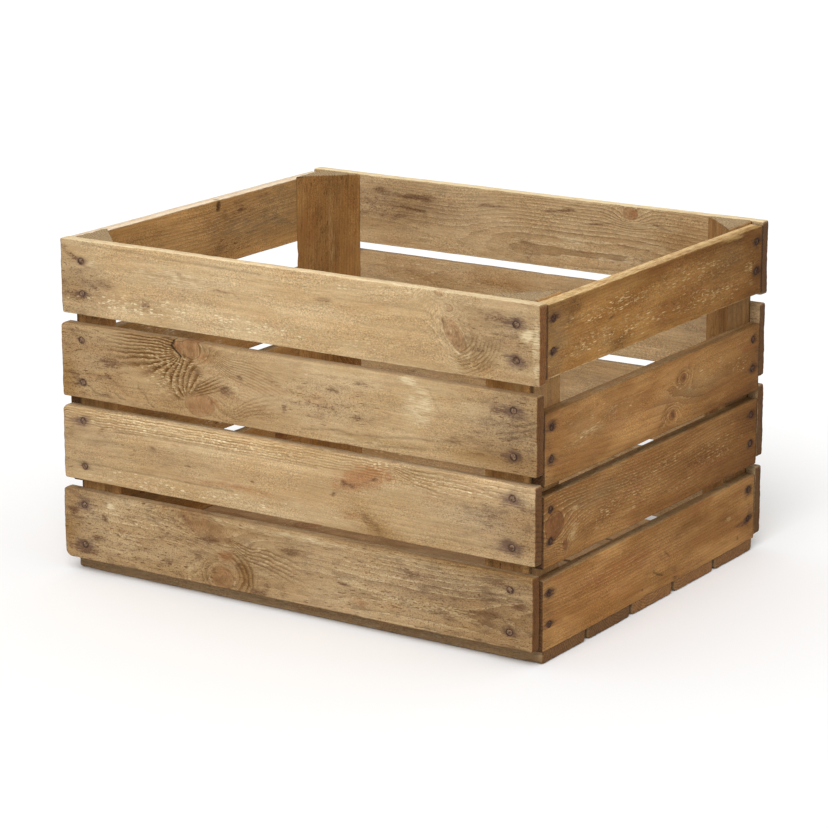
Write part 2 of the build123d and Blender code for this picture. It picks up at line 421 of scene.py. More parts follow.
class Bar:
    """One length of sawn wood, in its own axes: u along it, v across it, w through it, from its middle."""

    def __init__(self, node, axes, seed, grain, marks, corners=None):
        self.node = node
        self.axes = np.array(axes, float)
        self.seed = seed
        self.grain = grain
        self.marks = marks
        low, high = box_mm(node)
        self.middle = (low + high) / 2.0
        self.half = np.abs(self.axes @ (high - low)) / 2.0
        self.corners = corners
        if corners is None:
            hv, hw = self.half[1:]
            self.corners = np.array([(-hv, -hw), (hv, -hw), (hv, hw), (-hv, hw)])
        self.nails = []
        self.spacing = (STATION_SPACING, FACE_SPACING)

    def of(self, kind):
        return self.marks.get(kind, ())

    def noise(self, name, *place, edge=0):
        """One kind of noise at places of up to three coordinates."""
        strength, sizes, seed, *kind = BAR_NOISE[name]
        points = [value / size for value, size in zip(place, sizes)]
        points += [np.full_like(place[0], CELL_MIDDLE)] * (3 - len(points))
        return strength * layered(np.stack(points, -1), self.seed + seed + edge, *kind)

    def take_nails(self, heads):
        """Keeps the nails whose heads lie in the outer face."""
        for head in heads:
            place = self.axes @ (head - self.middle)
            over_face = np.all(np.abs(place[:2]) < self.half[:2])
            if over_face and abs(place[2] - self.half[2]) < NAIL_HEAD_THICKNESS:
                self.nails.append((place[0], place[1]))

    def stations(self):
        """Places of the sections along the bar."""
        hu = self.half[0]
        spots = [(end, END_REACH, EDGE_SPACING) for end in (-hu, hu)]
        spots += [(u, NAIL_REACH_ALONG, FINE_SPACING) for u, v in self.nails]
        spots += [(u, CRACK_REACH, FINE_SPACING) for strength, path in self.of("cracks") for u, v in path]
        return spread(hu, self.spacing[0], spots)

    def fractions(self):
        """Places of the points along the four sides of the section, from 0 to 1."""
        hv, hw = self.half[1:]
        spots = [(edge, EDGE_REACH, EDGE_SPACING) for edge in (-hv, hv)]
        spots += [(v, NAIL_REACH_ACROSS, FINE_SPACING) for u, v in self.nails]
        across = spread(hv, self.spacing[1], spots) / (2.0 * hv) + 0.5
        edges = [(edge, EDGE_REACH, EDGE_SPACING) for edge in (-hw, hw)]
        through = spread(hw, FACE_SPACING, edges) / (2.0 * hw) + 0.5
        return across, through

    def surface(self):
        """The worn shape: nominal places, real places and faces."""
        u = self.stations()
        across, through = self.fractions()
        sides = [across, through, 1.0 - across[::-1], 1.0 - through[::-1]]
        radii = np.stack([self.corner_radius(u, k) for k in range(4)], axis=1)
        section = rounded_outline(self.corners, sides, radii)
        count = section.shape[1]
        places = np.broadcast_to(u[:, None, None], (len(u), count, 1))
        nominal = np.concatenate([places, section], axis=2)
        real = self.worn(nominal)
        rows = np.arange(len(u))[:, None] * count + np.arange(count + 1) % count
        faces = [quads(rows.T)]
        nominal_parts = [nominal.reshape(-1, 3)]
        real_parts = [real.reshape(-1, 3)]
        start = len(u) * count
        for end, way in ((0, -1.0), (len(u) - 1, 1.0)):
            lattice = ring_lattice(len(across), len(through))
            inside = lattice < 0
            cap_nominal = coons(nominal[end], lattice)[inside]
            cap_real = self.cap(coons(real[end], lattice)[inside], cap_nominal, way)
            numbers = lattice + end * count
            numbers[inside] = start + np.arange(inside.sum())
            start += inside.sum()
            faces.append(quads(numbers) if way > 0 else quads(numbers)[:, ::-1])
            nominal_parts.append(cap_nominal)
            real_parts.append(cap_real)
        return np.concatenate(nominal_parts), np.concatenate(real_parts), np.concatenate(faces)

    def corner_radius(self, u, k):
        """Radius of the k-th long edge at each station, with its chips."""
        radius = CORNER_ROUND + self.noise("corner", u, edge=k) + self.noise("corner_fine", u, edge=k)
        for place, edge, reach, depth in self.of("chips"):
            if edge == k:
                radius = radius + depth * np.exp(-(((u - place) / reach) ** 2))
        return np.clip(radius, CORNER_ROUND_LEAST, CORNER_ROUND_MOST_SHARE * min(self.half[1:]))

    def worn(self, nominal):
        """Moves the points of the nominal surface by saw marks, wander, dents and wear."""
        hu, hv, hw = self.half
        u, v, w = np.moveaxis(nominal, -1, 0)
        tangent = np.roll(nominal[..., 1:], -1, axis=1) - np.roll(nominal[..., 1:], 1, axis=1)
        tangent /= np.linalg.norm(tangent, axis=-1, keepdims=True) + TINY_LENGTH
        normal = np.stack([tangent[..., 1], -tangent[..., 0]], axis=-1)
        height = self.noise("fibre", u, v, w) + self.noise("saw", u, v, w)
        outer = ramp(w, 0.0, OUTER_SHARE * hw)
        for nail_u, nail_v in self.nails:
            near = np.hypot(u - nail_u, v - nail_v)
            height -= outer * DIMPLE_DEPTH * fade(near, *DIMPLE_REACH)
        for strength, path in self.of("cracks"):
            height -= outer * CRACK_DEPTH * strength * fade(path_distance(u, v, path), *CRACK_OPEN)
        for knot in self.of("knots"):
            height += KNOT_RISE * falloff(u, v, knot)
        ridge, ridge_share = self.ridges(u, v, outer)
        height -= RIDGE_DEPTH * ridge_share * np.cos(math.pi * (ridge - RIDGE_VALLEY)) ** 2
        way = np.sign(u)
        round_end = END_ROUND + self.noise("end_round", v, w, way)
        gap = hu - np.abs(u)
        turn = (1.0 - np.minimum(gap / round_end, 1.0)) / 2.0
        height -= round_end * turn**2
        moved_u = u + way * (np.minimum(gap, round_end) - round_end * (1.0 - turn) ** 2)
        moved_u += way * ramp(-gap, -RAGGED_REACH, 0.0) * self.noise("ragged", v, w, way)
        moved = nominal[..., 1:] + normal * height[..., None]
        edge_share = np.abs(v / hv) ** 3
        wander = np.where(v > 0.0, self.noise("upper_edge", u), self.noise("lower_edge", u))
        moved_v = moved[..., 0] + wander * edge_share
        for way_u, way_v in itertools.product((-1, 1), repeat=2):
            radius = self.marks.get("round_corners", {}).get((way_u, way_v), BOARD_CORNER_RADIUS)
            inset = np.maximum(radius - np.where(u * way_u > 0.0, gap, np.inf), 0.0)
            drop = radius - np.sqrt(np.maximum(radius**2 - inset**2, 0.0))
            moved_v = moved_v - way_v * drop * np.where(v * way_v > 0.0, edge_share, 0.0)
        moved_w = moved[..., 1] + self.noise("bow", u)
        return np.stack([moved_u, moved_v, moved_w], axis=-1)

    def cap(self, points, nominal, way):
        """Points inside a sawn end: level with the rim's outside, and rough."""
        v, w = nominal[:, 1:].T
        ways = np.full_like(v, way)
        rim = np.min([self.rim_distance(nominal[:, 1:], k) for k in range(4)], axis=0)
        turn = (1.0 + np.minimum(rim / END_ROUND, 1.0)) / 2.0
        level = self.half[0] - END_ROUND * (1.0 - turn) ** 2 + self.noise("ragged", v, w, ways)
        level += turn * self.noise("cap", v, w, ways)
        return np.stack([way * level, points[:, 1], points[:, 2]], axis=-1)

    def rim_distance(self, section, k):
        """Distance from the k-th side of the section."""
        side = self.corners[(k + 1) % 4] - self.corners[k]
        offset = section - self.corners[k]
        return (side[0] * offset[:, 1] - side[1] * offset[:, 0]) / np.linalg.norm(side)

    def edge_distance(self, nominal):
        """Distance from the nearest long edge, measured across the section."""
        before = self.corners - np.roll(self.corners, 1, axis=0)
        after = np.roll(self.corners, -1, axis=0) - self.corners
        turns = np.abs(before[:, 0] * after[:, 1] - before[:, 1] * after[:, 0])
        edges = self.corners[turns > turns.max() / 2.0]
        return np.min([np.linalg.norm(nominal[:, 1:] - edge, axis=1) for edge in edges], axis=0)

    def blots(self, u, v, face, kind):
        """Strength of one kind of mark: the outer face's spots, and the inner face's own."""
        total = np.zeros_like(u)
        for side, share in (("", face), ("inner_", 1.0 - face)):
            for spot in self.of(side + kind):
                total = np.maximum(total, spot[4] * falloff(u, v, spot) * share)
        return np.clip(total, 0.0, 1.0)

    def halo(self, u, v, face):
        """Rust that has run into the wood round the nails."""
        total = np.zeros_like(u)
        for number, (nail_u, nail_v) in enumerate(self.nails):
            size = self.grain["halo"][0 if nail_u < 0.0 else 1]
            size = size * (HALO_LEAST + HALO_VARIES * math.sin(NAIL_TURN * number + self.seed) ** 2)
            core = np.hypot((u - nail_u) / HALO_STRETCH, v - nail_v)
            share = fade(core, HALO_CORE_START, NAIL_HEAD_RADIUS + HALO_CORE_GROWTH * size)
            run = (nail_u, nail_v, HALO_RUN_ALONG * size, HALO_RUN_ACROSS * size)
            streak = (nail_u, nail_v, HALO_STREAK_ALONG * size, HALO_STREAK_ACROSS)
            for strength, spot in ((HALO_RUN, run), (HALO_STREAK, streak)):
                share = np.maximum(share, strength * falloff(u, v, spot))
            total = np.maximum(total, face * share)
        return total

    def ridges(self, u, v, face):
        """Grain that bends round the knots: the phase of its lines and their strength."""
        phase, strength = np.zeros_like(u), np.zeros_like(u)
        wave = self.noise("ridge", u, v)
        warp_u = self.noise("bend_u", u, v)
        warp_v = self.noise("bend_v", u, v)
        for kind, (bundle, loose) in BUNDLES.items():
            for shape in self.of(kind):
                lines, share = bundle(u + loose * warp_u, v + loose * warp_v, *shape)
                stronger = share * face > strength
                phase = np.where(stronger, lines + wave, phase)
                strength = np.where(stronger, share * face, strength)
        return phase, strength

    def knot_depths(self, u, v, w):
        """Depth in a knot (0 on its rim, 1 at its heart), the knot's strength and its rings."""
        depth, strength, heart = np.full_like(u, -1.0), np.zeros_like(u), np.zeros_like(u)
        wander = self.noise("knot", u, v, w)
        for spot in self.of("knots"):
            reach = np.sqrt(-np.log(falloff(u, v, spot) + TINY_SHARE)) + wander
            deeper = 1.0 - reach > depth
            strength = np.where(deeper, spot[4], strength)
            heart = np.where(deeper, reach * spot[3] / KNOT_RING_WIDTH, heart)
            depth = np.where(deeper, 1.0 - reach, depth)
        return depth, strength, heart

    def growth(self, u, v, w, face):
        """Where the grain flows across the bar, the phase of its rings and how plain they are."""
        grain = self.grain
        flow = v + (self.noise("sway", u) + u * self.noise("drift", u))
        bulge = np.zeros_like(u)
        figure = grain["figure"] + self.blots(u, v, face, "figures")
        for spot in self.of("knots"):
            bent = (*spot[:2], KNOT_FLOW[0] * spot[2], KNOT_FLOW[1] * spot[3], 1.0, *spot[5:])
            marked = (*spot[:2], KNOT_FIGURE[0] * spot[2], KNOT_FIGURE[1] * spot[3])
            wide = falloff(u, v, bent)
            flow = flow - (v - spot[1]) * KNOT_PUSH * wide
            bulge = bulge + wide
            figure = figure + KNOT_FIGURE_SHARE * falloff(u, v, marked)
        pith_v = grain["pith_v"] + self.noise("pith_v", u)
        pith_w = grain["pith_w"] + grain["taper"] * u + self.noise("pith_w", u)
        rings = np.hypot(flow - pith_v, w - pith_w) / grain["pitch"] + KNOT_RINGS * bulge
        return flow, rings, np.clip(figure, 0.0, FIGURE_MOST)

    def cracks_and_gap_shade(self, u, v, face, gap, edge):
        """Cracks, with painted shade in the rings round the nail heads, at the end slats' ends and along the
        posts' edges.
        """
        grain = self.grain
        crack = grain["end_gap_shade"] * fade(gap, grain["end_gap_shade_width"] / 2.0, grain["end_gap_shade_width"])
        crack = np.maximum(crack, grain["edge_crevice_shade"] * fade(edge, *EDGE_CREVICE_SHADE_REACH))
        for strength, path in self.of("cracks"):
            crack = np.maximum(crack, strength * face * fade(path_distance(u, v, path), *CRACK_TINT))
        # Painted shadow round the nail heads
        for number, (nail_u, nail_v) in enumerate(self.nails):
            turn = NAIL_TURN * number + self.seed
            ring_u = nail_u + NAIL_RING_SHADE_SHIFT * math.cos(turn)
            ring_v = nail_v + NAIL_RING_SHADE_SHIFT * math.sin(turn)
            ring = fade(np.hypot(u - ring_u, v - ring_v), *NAIL_RING_SHADE_REACH)
            crack = np.maximum(crack, NAIL_RING_SHADE * face * ring)
        return crack

    def looks(self, nominal):
        """Per-point values that the wood's material reads."""
        u, v, w = nominal.T
        grain = self.grain
        face = ramp(w, -FACE_TURN, FACE_TURN)
        blot_u = u + self.noise("blot_u", u, v, w)
        blot_v = v + self.noise("blot_v", u, v, w)
        marked = {kind: self.blots(blot_u, blot_v, face, kind) for kind in BLOT_KINDS}
        flow, rings, figure = self.growth(u, v, w, face)
        gap = self.half[0] - np.abs(u)
        edge = self.edge_distance(nominal)
        long_edge = fade(self.half[1] - np.abs(v), *LONG_EDGE_REACH)
        # Pale long edges and rims: worn pale wood, and on the top slats a painted highlight
        edge_pale_and_highlight = grain["edge_pale_and_highlight"] * np.maximum(long_edge, RIM_PALE_AND_HIGHLIGHT * fade(edge, *RIM_REACH))
        pale = np.clip(np.maximum(marked["pales"], edge_pale_and_highlight), 0.0, 1.0)
        grey = np.maximum(marked["greys"], grain["edge_grey"] * long_edge)
        dirt = np.clip(marked["dirts"] + grain["dirt"] + TIP_DIRT * fade(gap, *TIP_REACH), 0.0, 1.0)
        # Shade: brightness along and across the board, partly the wood's own tone and partly painted light
        # and shade
        shade = np.interp(u, *zip(*grain["shade"])) + np.interp(v, *zip(*grain["shade_across"]))
        shade = shade * face + grain["inner_shade"] * (1.0 - face)
        # Painted shade along the long edges of the lower slats, in the gaps between the slats
        shade = shade - DARK_SHADE * marked["darks"] - grain["edge_painted_shade"] * long_edge
        halo = self.halo((u + blot_u) / 2.0, (v + blot_v) / 2.0, face)
        values = {
            "grain": [place + shift * self.seed for place, shift in zip((u, flow, w), GRAIN_SHIFT)],
            "rings": (rings, figure, fade(gap, *SAWN_END_REACH)),
            "marks": (halo, self.cracks_and_gap_shade(u, v, face, gap, edge), marked["stains"]),
            "knots": self.knot_depths(u, v, w),
            "ridges": (*self.ridges(u, v, face), np.full_like(u, grain["end_light"])),
            "wear": (marked["flecks"], pale, grey),
            "tone": (shade, marked["warms"], dirt),
        }
        return {name: np.stack(columns, -1) for name, columns in values.items()}

    def make(self, material, slot):
        nominal, real, faces = self.surface()
        world = (self.middle + real @ self.axes) * MM
        mesh = new_mesh("wood_" + self.node, world, faces.tolist(), material)
        for name, values in self.looks(nominal).items():
            attribute = mesh.attributes.new(name, "FLOAT_VECTOR", "POINT")
            attribute.data.foreach_set("vector", values.astype(np.float32).ravel())
        add_piece(mesh, self.node)


def new_mesh(name, points, faces, material):
    """A smooth mesh of one material."""
    mesh = bpy.data.meshes.new(name)
    mesh.from_pydata(points.tolist(), [], faces)
    mesh.polygons.foreach_set("use_smooth", np.ones(len(faces), bool))
    mesh.materials.append(material)
    return mesh


def add_piece(mesh, node):
    """Shows a mesh in place of a CAD node."""
    piece = bpy.data.objects.new(mesh.name, mesh)
    bpy.context.scene.collection.objects.link(piece)
    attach(piece, "root")
    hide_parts(node)


# Materials


def srgb(red, green, blue):
    """A colour written in 0 to 255 as linear RGBA."""
    parts = [value / 255.0 for value in (red, green, blue)]
    return (*[p / 12.92 if p <= 0.04045 else ((p + 0.055) / 1.055) ** 2.4 for p in parts], 1.0)


class Nodes:
    """A material's node tree, with short calls for the nodes that the wood and the steel use."""

    def __init__(self, name):
        self.material = bpy.data.materials.new(name)
        self.material.use_nodes = True
        self.tree = self.material.node_tree
        self.shader = self.tree.nodes["Principled BSDF"]
        self.colour = None

    def put(self, socket, value):
        if isinstance(value, bpy.types.NodeSocket):
            self.tree.links.new(value, socket)
        else:
            socket.default_value = value

    def add(self, kind, inputs, **settings):
        node = self.tree.nodes.new(kind)
        for key, value in settings.items():
            setattr(node, key, value)
        for key, value in inputs.items():
            self.put(node.inputs[key], value)
        return node

    def give(self, **inputs):
        """Sets inputs of the material's shader."""
        for name, value in inputs.items():
            self.put(self.shader.inputs[name.replace("_", " ")], value)

    def maths(self, operation, first, second=0.0, clamp=False):
        settings = {"operation": operation, "use_clamp": clamp}
        return self.add("ShaderNodeMath", {0: first, 1: second}, **settings).outputs[0]

    def times(self, product, *factors):
        for factor in factors:
            product = self.maths("MULTIPLY", product, factor)
        return product

    def plus(self, first, second):
        return self.maths("ADD", first, second)

    def step(self, value, low, high, at_low=0.0, at_high=1.0):
        inputs = {"Value": value, "From Min": low, "From Max": high, "To Min": at_low, "To Max": at_high}
        return self.add("ShaderNodeMapRange", inputs, interpolation_type="SMOOTHSTEP").outputs[0]

    def swing(self, noise, at_low, at_high):
        """A step over the usual range of a noise."""
        return self.step(noise, *PATTERN_RANGE, at_low, at_high)

    def mix(self, factor, first, second, blend="MIX"):
        settings = {"data_type": "RGBA", "blend_type": blend}
        return self.add("ShaderNodeMix", {0: factor, 6: first, 7: second}, **settings).outputs[2]

    def scaled(self, colour, factor):
        return self.add("ShaderNodeVectorMath", {0: colour, "Scale": factor}, operation="SCALE").outputs[0]

    def tint(self, factor, tone, blend="MIX"):
        """Lays a tone over the colour so far."""
        self.colour = self.mix(factor, self.colour, tone, blend)

    def light(self, factor):
        """Makes the colour so far lighter or darker."""
        self.colour = self.scaled(self.colour, factor)

    def moved(self, place, stretch, shift):
        inputs = {0: place, 1: stretch, 2: (shift, shift, shift)}
        return self.add("ShaderNodeVectorMath", inputs, operation="MULTIPLY_ADD").outputs[0]

    def noise(self, place, stretch, detail, roughness, shift):
        vector = self.moved(place, stretch, shift)
        inputs = {"Vector": vector, "Scale": 1.0, "Detail": detail, "Roughness": roughness}
        return self.add("ShaderNodeTexNoise", inputs).outputs["Fac"]

    def dashes(self, place, stretch, shift):
        """Distance from the middle of the nearest of many strewn dashes, and a chance value of that dash."""
        vector = self.moved(place, stretch, shift)
        cells = self.add("ShaderNodeTexVoronoi", {"Vector": vector, "Scale": 1.0}).outputs
        return cells["Distance"], self.parts(cells["Color"])[0]

    def parts(self, vector):
        return self.add("ShaderNodeSeparateXYZ", {0: vector}).outputs[:3]

    def attribute(self, name):
        return self.add("ShaderNodeAttribute", {}, attribute_name=name).outputs["Vector"]

    def values(self, name):
        """The three values of a mesh attribute."""
        return self.parts(self.attribute(name))

    def bump(self, height, strength, distance):
        inputs = {"Strength": strength, "Distance": distance, "Height": height}
        self.give(Normal=self.add("ShaderNodeBump", inputs).outputs[0])


# Share of the "shadow" tone for each unit that a surface is shaded by
SHADE_TO_TINT = -1.6

# Patterns in the wood: patches for each millimetre along and across the grain, detail, roughness, shift
WOOD_PATTERNS = {
    "cloud": (0.011, 0.04, 3.0, 0.55, 0.0),
    "streak": (0.008, 0.24, 4.0, 0.6, 11.0),
    "line": (0.02, 0.75, 3.0, 0.6, 17.0),
    "fibre": (0.11, 1.2, 4.0, 0.65, 23.0),
    "speck": (0.5, 0.75, 3.0, 0.65, 37.0),
    "grit": (0.8, 1.2, 2.0, 0.7, 43.0),
    "dash": (0.13, 0.7, 2.0, 0.5, 53.0),
    "chaff": (0.24, 0.8, 1.0, 0.5, 71.0),
    "blotch": (0.05, 0.12, 5.0, 0.7, 89.0),
    "hue": (0.03, 0.08, 3.0, 0.6, 97.0),
    "calm": (0.02, 0.06, 2.0, 0.5, 101.0),
}
FLAKE_SHIFT = 71.0

# Usual range of a pattern's values
PATTERN_RANGE = (0.3, 0.7)


def wood(name, tones):
    """Weathered softwood: fibres, growth rings, ridges, flecks, stains, knots, cracks and end grain."""
    n = Nodes(name)
    grain = n.attribute("grain")
    phase, figure, end = n.values("rings")
    halo, crack, stain = n.values("marks")
    depth, knot, heart = n.values("knots")
    ridge, ridge_share, end_light = n.values("ridges")
    fleck, pale, grey = n.values("wear")
    shade, warm, dirt = n.values("tone")
    cloud, streak, line, fibre, speck, grit, dash, chaff, blotch, hue, calm = (
        n.noise(grain, (along, across, across), *kind) for along, across, *kind in WOOD_PATTERNS.values()
    )
    flake_reach, flake_chance = n.dashes(grain, tones["fleck_stretch"], FLAKE_SHIFT)
    flake_reach = n.plus(flake_reach, n.swing(speck, -0.08, 0.08))
    feather = n.plus(n.step(fibre, 0.25, 0.75, -0.22, 0.22), n.step(blotch, 0.25, 0.75, -0.2, 0.2))

    def blot(strength, low, high):
        """A mark with a feathered edge."""
        edge = n.times(feather, n.step(strength, 0.0, 0.3))
        return n.step(n.plus(strength, edge), low, high)

    # Ground: pale and darker clouds, rosy, grey and warm patches, streaks along the grain
    n.colour = n.mix(n.step(cloud, 0.36, 0.64), tones["mid"], tones["pale"])
    n.tint(n.step(hue, 0.5, 0.68, 0.0, 0.3), tones["rosy"])
    n.tint(n.times(n.step(blotch, 0.35, 0.62, 0.45, 1.0), grey, tones["grey_share"]), tones["grey"])
    n.tint(n.times(blot(warm, 0.05, 0.85), 0.85), tones["warm"])
    n.light(n.swing(streak, 0.91, 1.07))
    n.light(n.swing(line, 0.95, 1.04))

    # Growth rings, with broken bright lines where they show most
    place = n.maths("FRACT", n.plus(phase, n.times(streak, 1.1)))
    cut_rings = n.times(n.maths("POWER", place, 3.0), n.step(blotch, 0.3, 0.6, 0.5, 1.0))
    late = n.times(cut_rings, figure)
    n.tint(n.maths("MULTIPLY", late, tones["ring_share"], True), tones["dark"])
    bright = n.times(n.step(chaff, 0.42, 0.58), n.step(place, 0.3, 0.12), n.step(figure, 0.45, 1.1))
    n.tint(n.times(bright, 0.5), tones["fleck"])

    # Ridges of bent grain: dark valleys, partly dark grain and partly painted shade, and crests with a
    # painted highlight and pale beads
    saw = n.maths("FRACT", n.plus(ridge, n.swing(speck, -0.06, 0.06)))
    valley = n.times(n.maths("MAXIMUM", n.step(saw, 0.5, 0.15), n.step(saw, 0.9, 1.0)), ridge_share)
    crest_highlight_and_beads = n.times(n.step(saw, 0.4, 0.7), n.step(saw, 0.97, 0.88), ridge_share)
    n.tint(n.times(ridge_share, 0.4), tones["ridge"])
    n.tint(n.times(valley, n.step(blotch, 0.35, 0.55, 0.5, 1.0)), tones["ridge"])
    # Painted highlight on the crests
    n.light(n.step(crest_highlight_and_beads, 0.0, 1.0, 1.0, 1.16))
    n.tint(n.times(crest_highlight_and_beads, n.step(chaff, 0.54, 0.6), n.step(fleck, 0.0, 0.5), 0.8), tones["fleck"])

    # Fibres, dust, pits and dirt
    n.light(n.swing(fibre, 0.93, 1.06))
    dust = n.plus(n.swing(speck, -0.17, 0.14), n.swing(grit, -0.21, 0.18))
    n.light(n.plus(n.times(dust, n.step(calm, 0.36, 0.62, 0.5, 1.3)), 1.0))
    n.tint(n.times(n.step(grit, 0.64, 0.74), n.step(cloud, 0.35, 0.65, 0.15, 0.5)), tones["dark"])
    dashes = n.times(n.step(dash, 0.62, 0.72), n.step(dirt, 0.1, 1.0, 0.1, 0.95))
    n.tint(dashes, tones["dark"])
    n.tint(n.times(n.step(speck, 0.5, 0.66, 0.0, 0.85), n.step(dirt, 0.2, 1.0)), tones["grime"])
    n.tint(n.times(n.step(blotch, 0.5, 0.66), dirt, tones["grime_share"]), tones["grime"])

    # Pale flakes, scraps and worn patches, and pale edges that are partly a painted highlight
    chosen = n.step(n.plus(flake_chance, n.times(fleck, 0.6)), 1.0, 1.3)
    scraps = n.times(n.step(chaff, 0.58, 0.66), n.step(fleck, 0.05, 0.9, 0.0, 0.75))
    scraps = n.times(scraps, n.step(blotch, 0.36, 0.58, 0.2, 1.0))
    flakes = n.maths("MAXIMUM", n.times(n.step(flake_reach, 0.42, 0.26), chosen), scraps)
    n.tint(n.times(flakes, 0.95), tones["fleck"])
    n.tint(n.times(blot(pale, 0.05, 0.9), n.step(fibre, 0.3, 0.62, 0.5, 1.0)), tones["fleck"])

    # Knots: ringed and patchy inside, with a dark broken rim
    gnarl = n.maths("PINGPONG", heart, 0.5)
    knotted = n.mix(n.step(gnarl, 0.25, 0.5, 0.0, 0.42), tones["knot"], tones["dark"])
    knotted = n.mix(n.step(depth, 0.6, 1.0, 0.0, 0.25), knotted, tones["dark"])
    knotted = n.mix(n.step(hue, 0.42, 0.58, 0.0, 0.5), knotted, tones["mid"])
    knotted = n.mix(n.step(blotch, 0.42, 0.62, 0.0, 0.6), knotted, tones["dark"])
    knotted = n.scaled(knotted, n.swing(speck, 0.84, 1.14))
    knotted = n.scaled(knotted, n.swing(grit, 0.9, 1.1))
    ragged = n.plus(depth, n.swing(speck, -0.05, 0.05))
    n.tint(n.times(n.step(ragged, -0.08, 0.2), knot, 0.9), knotted)
    rim = n.times(n.step(ragged, -0.12, -0.01), n.step(ragged, 0.12, 0.01), knot)
    n.tint(n.times(rim, n.step(blotch, 0.4, 0.6, 0.35, 0.95)), tones["dark"])

    # Stains, rust, cracks, painted shade in the gaps round nail heads, at the end slats' ends and along the
    # posts' edges, overall shade (partly painted light and shade) and sawn ends
    n.tint(n.times(blot(stain, 0.06, 0.55), n.step(speck, 0.36, 0.6, 0.4, 1.1)), tones["smudge"])
    n.tint(n.times(blot(halo, 0.12, 0.8), n.step(speck, 0.36, 0.6, 0.72, 0.9)), tones["stain"])
    n.tint(n.step(halo, 0.75, 1.0, 0.0, tones["nail_dark"]), tones["gap"])
    # Cracks, and painted shade round the nail heads, at the end slats' ends and along the posts' edges
    n.tint(n.times(crack, 0.9), tones["gap"])
    # Overall shade: the wood's own tone, with painted light and shade where the boards get more or less
    # light
    n.tint(n.maths("MULTIPLY", shade, SHADE_TO_TINT, True), tones["shadow"], "MULTIPLY")
    n.light(n.maths("MAXIMUM", n.plus(shade, 1.0), 1.0))
    sawn = n.mix(n.times(cut_rings, 0.75), tones["end"], tones["gap"])
    sawn = n.scaled(n.scaled(sawn, end_light), n.swing(speck, 0.65, 1.3))
    n.tint(n.times(end, 0.9), sawn)

    # Relief and gloss
    height = n.times(fibre, 0.6)
    for relief, share in ((speck, 0.25), (late, 0.2), (flakes, 0.3)):
        height = n.plus(height, n.times(relief, share))
    for groove in (dashes, valley, crack):
        height = n.maths("SUBTRACT", height, n.times(groove, 0.7))
    n.bump(height, 0.6, 0.0007)
    n.give(Base_Color=n.colour, Roughness=n.swing(fibre, 0.94, 0.78), Specular_IOR_Level=0.2)
    return n.material


def rusted_steel(name, bare, rust):
    """Nail heads: dull hammered steel, rusted in patches."""
    n = Nodes(name)
    place = n.add("ShaderNodeTexCoord", {}).outputs["Object"]
    patch = n.noise(place, (420.0, 420.0, 420.0), 4.0, 0.65, 0.0)
    specks = n.noise(place, (1900.0, 1900.0, 1900.0), 3.0, 0.6, 7.0)
    n.colour = n.mix(n.step(patch, 0.42, 0.6), bare, rust)
    n.tint(n.step(specks, 0.55, 0.7, 0.0, 0.6), srgb(50, 34, 26))
    n.bump(specks, 0.5, 0.0003)
    n.give(Base_Color=n.colour, Metallic=n.step(patch, 0.42, 0.6, 0.15, 0.0))
    n.give(Roughness=n.step(patch, 0.4, 0.62, 0.6, 0.9), Specular_IOR_Level=0.15)
    return n.material


# Tones of the woods

SIDE_TONES = {
    "pale": srgb(214, 185, 141),
    "mid": srgb(200, 167, 121),
    "dark": srgb(126, 90, 54),
    "ridge": srgb(122, 85, 36),
    "grey": srgb(170, 146, 116),
    "grime": srgb(122, 93, 68),
    "warm": srgb(178, 124, 80),
    "fleck": srgb(240, 220, 178),
    "smudge": srgb(120, 88, 62),
    "stain": srgb(112, 87, 74),
    "rosy": srgb(202, 160, 116),
    "knot": srgb(174, 122, 82),
    "gap": srgb(34, 21, 14),
    "shadow": srgb(192, 166, 120),
    "end": srgb(112, 67, 27),
    "grey_share": 0.7,
    "ring_share": 0.5,
    "grime_share": 0.5,
    "fleck_stretch": (0.17, 0.5, 0.5),
    "nail_dark": 0.35,
}
# The end slats' wood: a darker, warmer copy of the side slats' wood, with painted shade for the ends, which
# get less light than the front
SHADED_END_WOOD = {
    "pale": srgb(194, 144, 85),
    "mid": srgb(163, 113, 59),
    "dark": srgb(112, 70, 36),
    "ridge": srgb(118, 80, 40),
    "grey": srgb(147, 128, 94),
    "grime": srgb(110, 80, 50),
    "warm": srgb(168, 104, 62),
    "fleck": srgb(238, 206, 150),
    "smudge": srgb(104, 70, 42),
    "stain": srgb(66, 43, 34),
    "rosy": srgb(166, 108, 66),
    "knot": srgb(154, 100, 66),
    "gap": srgb(40, 25, 18),
    "shadow": srgb(184, 170, 146),
    "end": srgb(124, 86, 54),
    "grey_share": 0.8,
    "ring_share": 0.8,
    "grime_share": 0.5,
    "fleck_stretch": (0.11, 0.7, 0.7),
    "nail_dark": 0.65,
}
# The right end's top slat: the same copy with painted shade, a little yellower
SHADED_TOP_END_WOOD = {
    **SHADED_END_WOOD,
    "pale": srgb(193, 143, 79),
    "mid": srgb(163, 112, 52),
}
# The left end slats' wood: a lighter, less orange copy of the end wood, with painted light on the left end's
# inner face, which the crate's walls shade
LIT_LEFT_END_WOOD = {
    **SHADED_END_WOOD,
    "pale": srgb(206, 160, 100),
    "mid": srgb(188, 142, 84),
    "rosy": srgb(186, 136, 84),
    "fleck": srgb(236, 218, 190),
    "ring_share": 0.5,
}
POST_TONES = {
    **SHADED_END_WOOD,
    "pale": srgb(208, 162, 102),
    "mid": srgb(190, 142, 84),
    "grey": srgb(156, 128, 94),
    "end": srgb(178, 152, 114),
    "grey_share": 0.5,
}
FLOOR_TONES = {
    **SIDE_TONES,
    "pale": srgb(192, 158, 116),
    "mid": srgb(166, 130, 90),
    "end": srgb(152, 106, 62),
    "grey_share": 0.8,
}


# The crate's parts

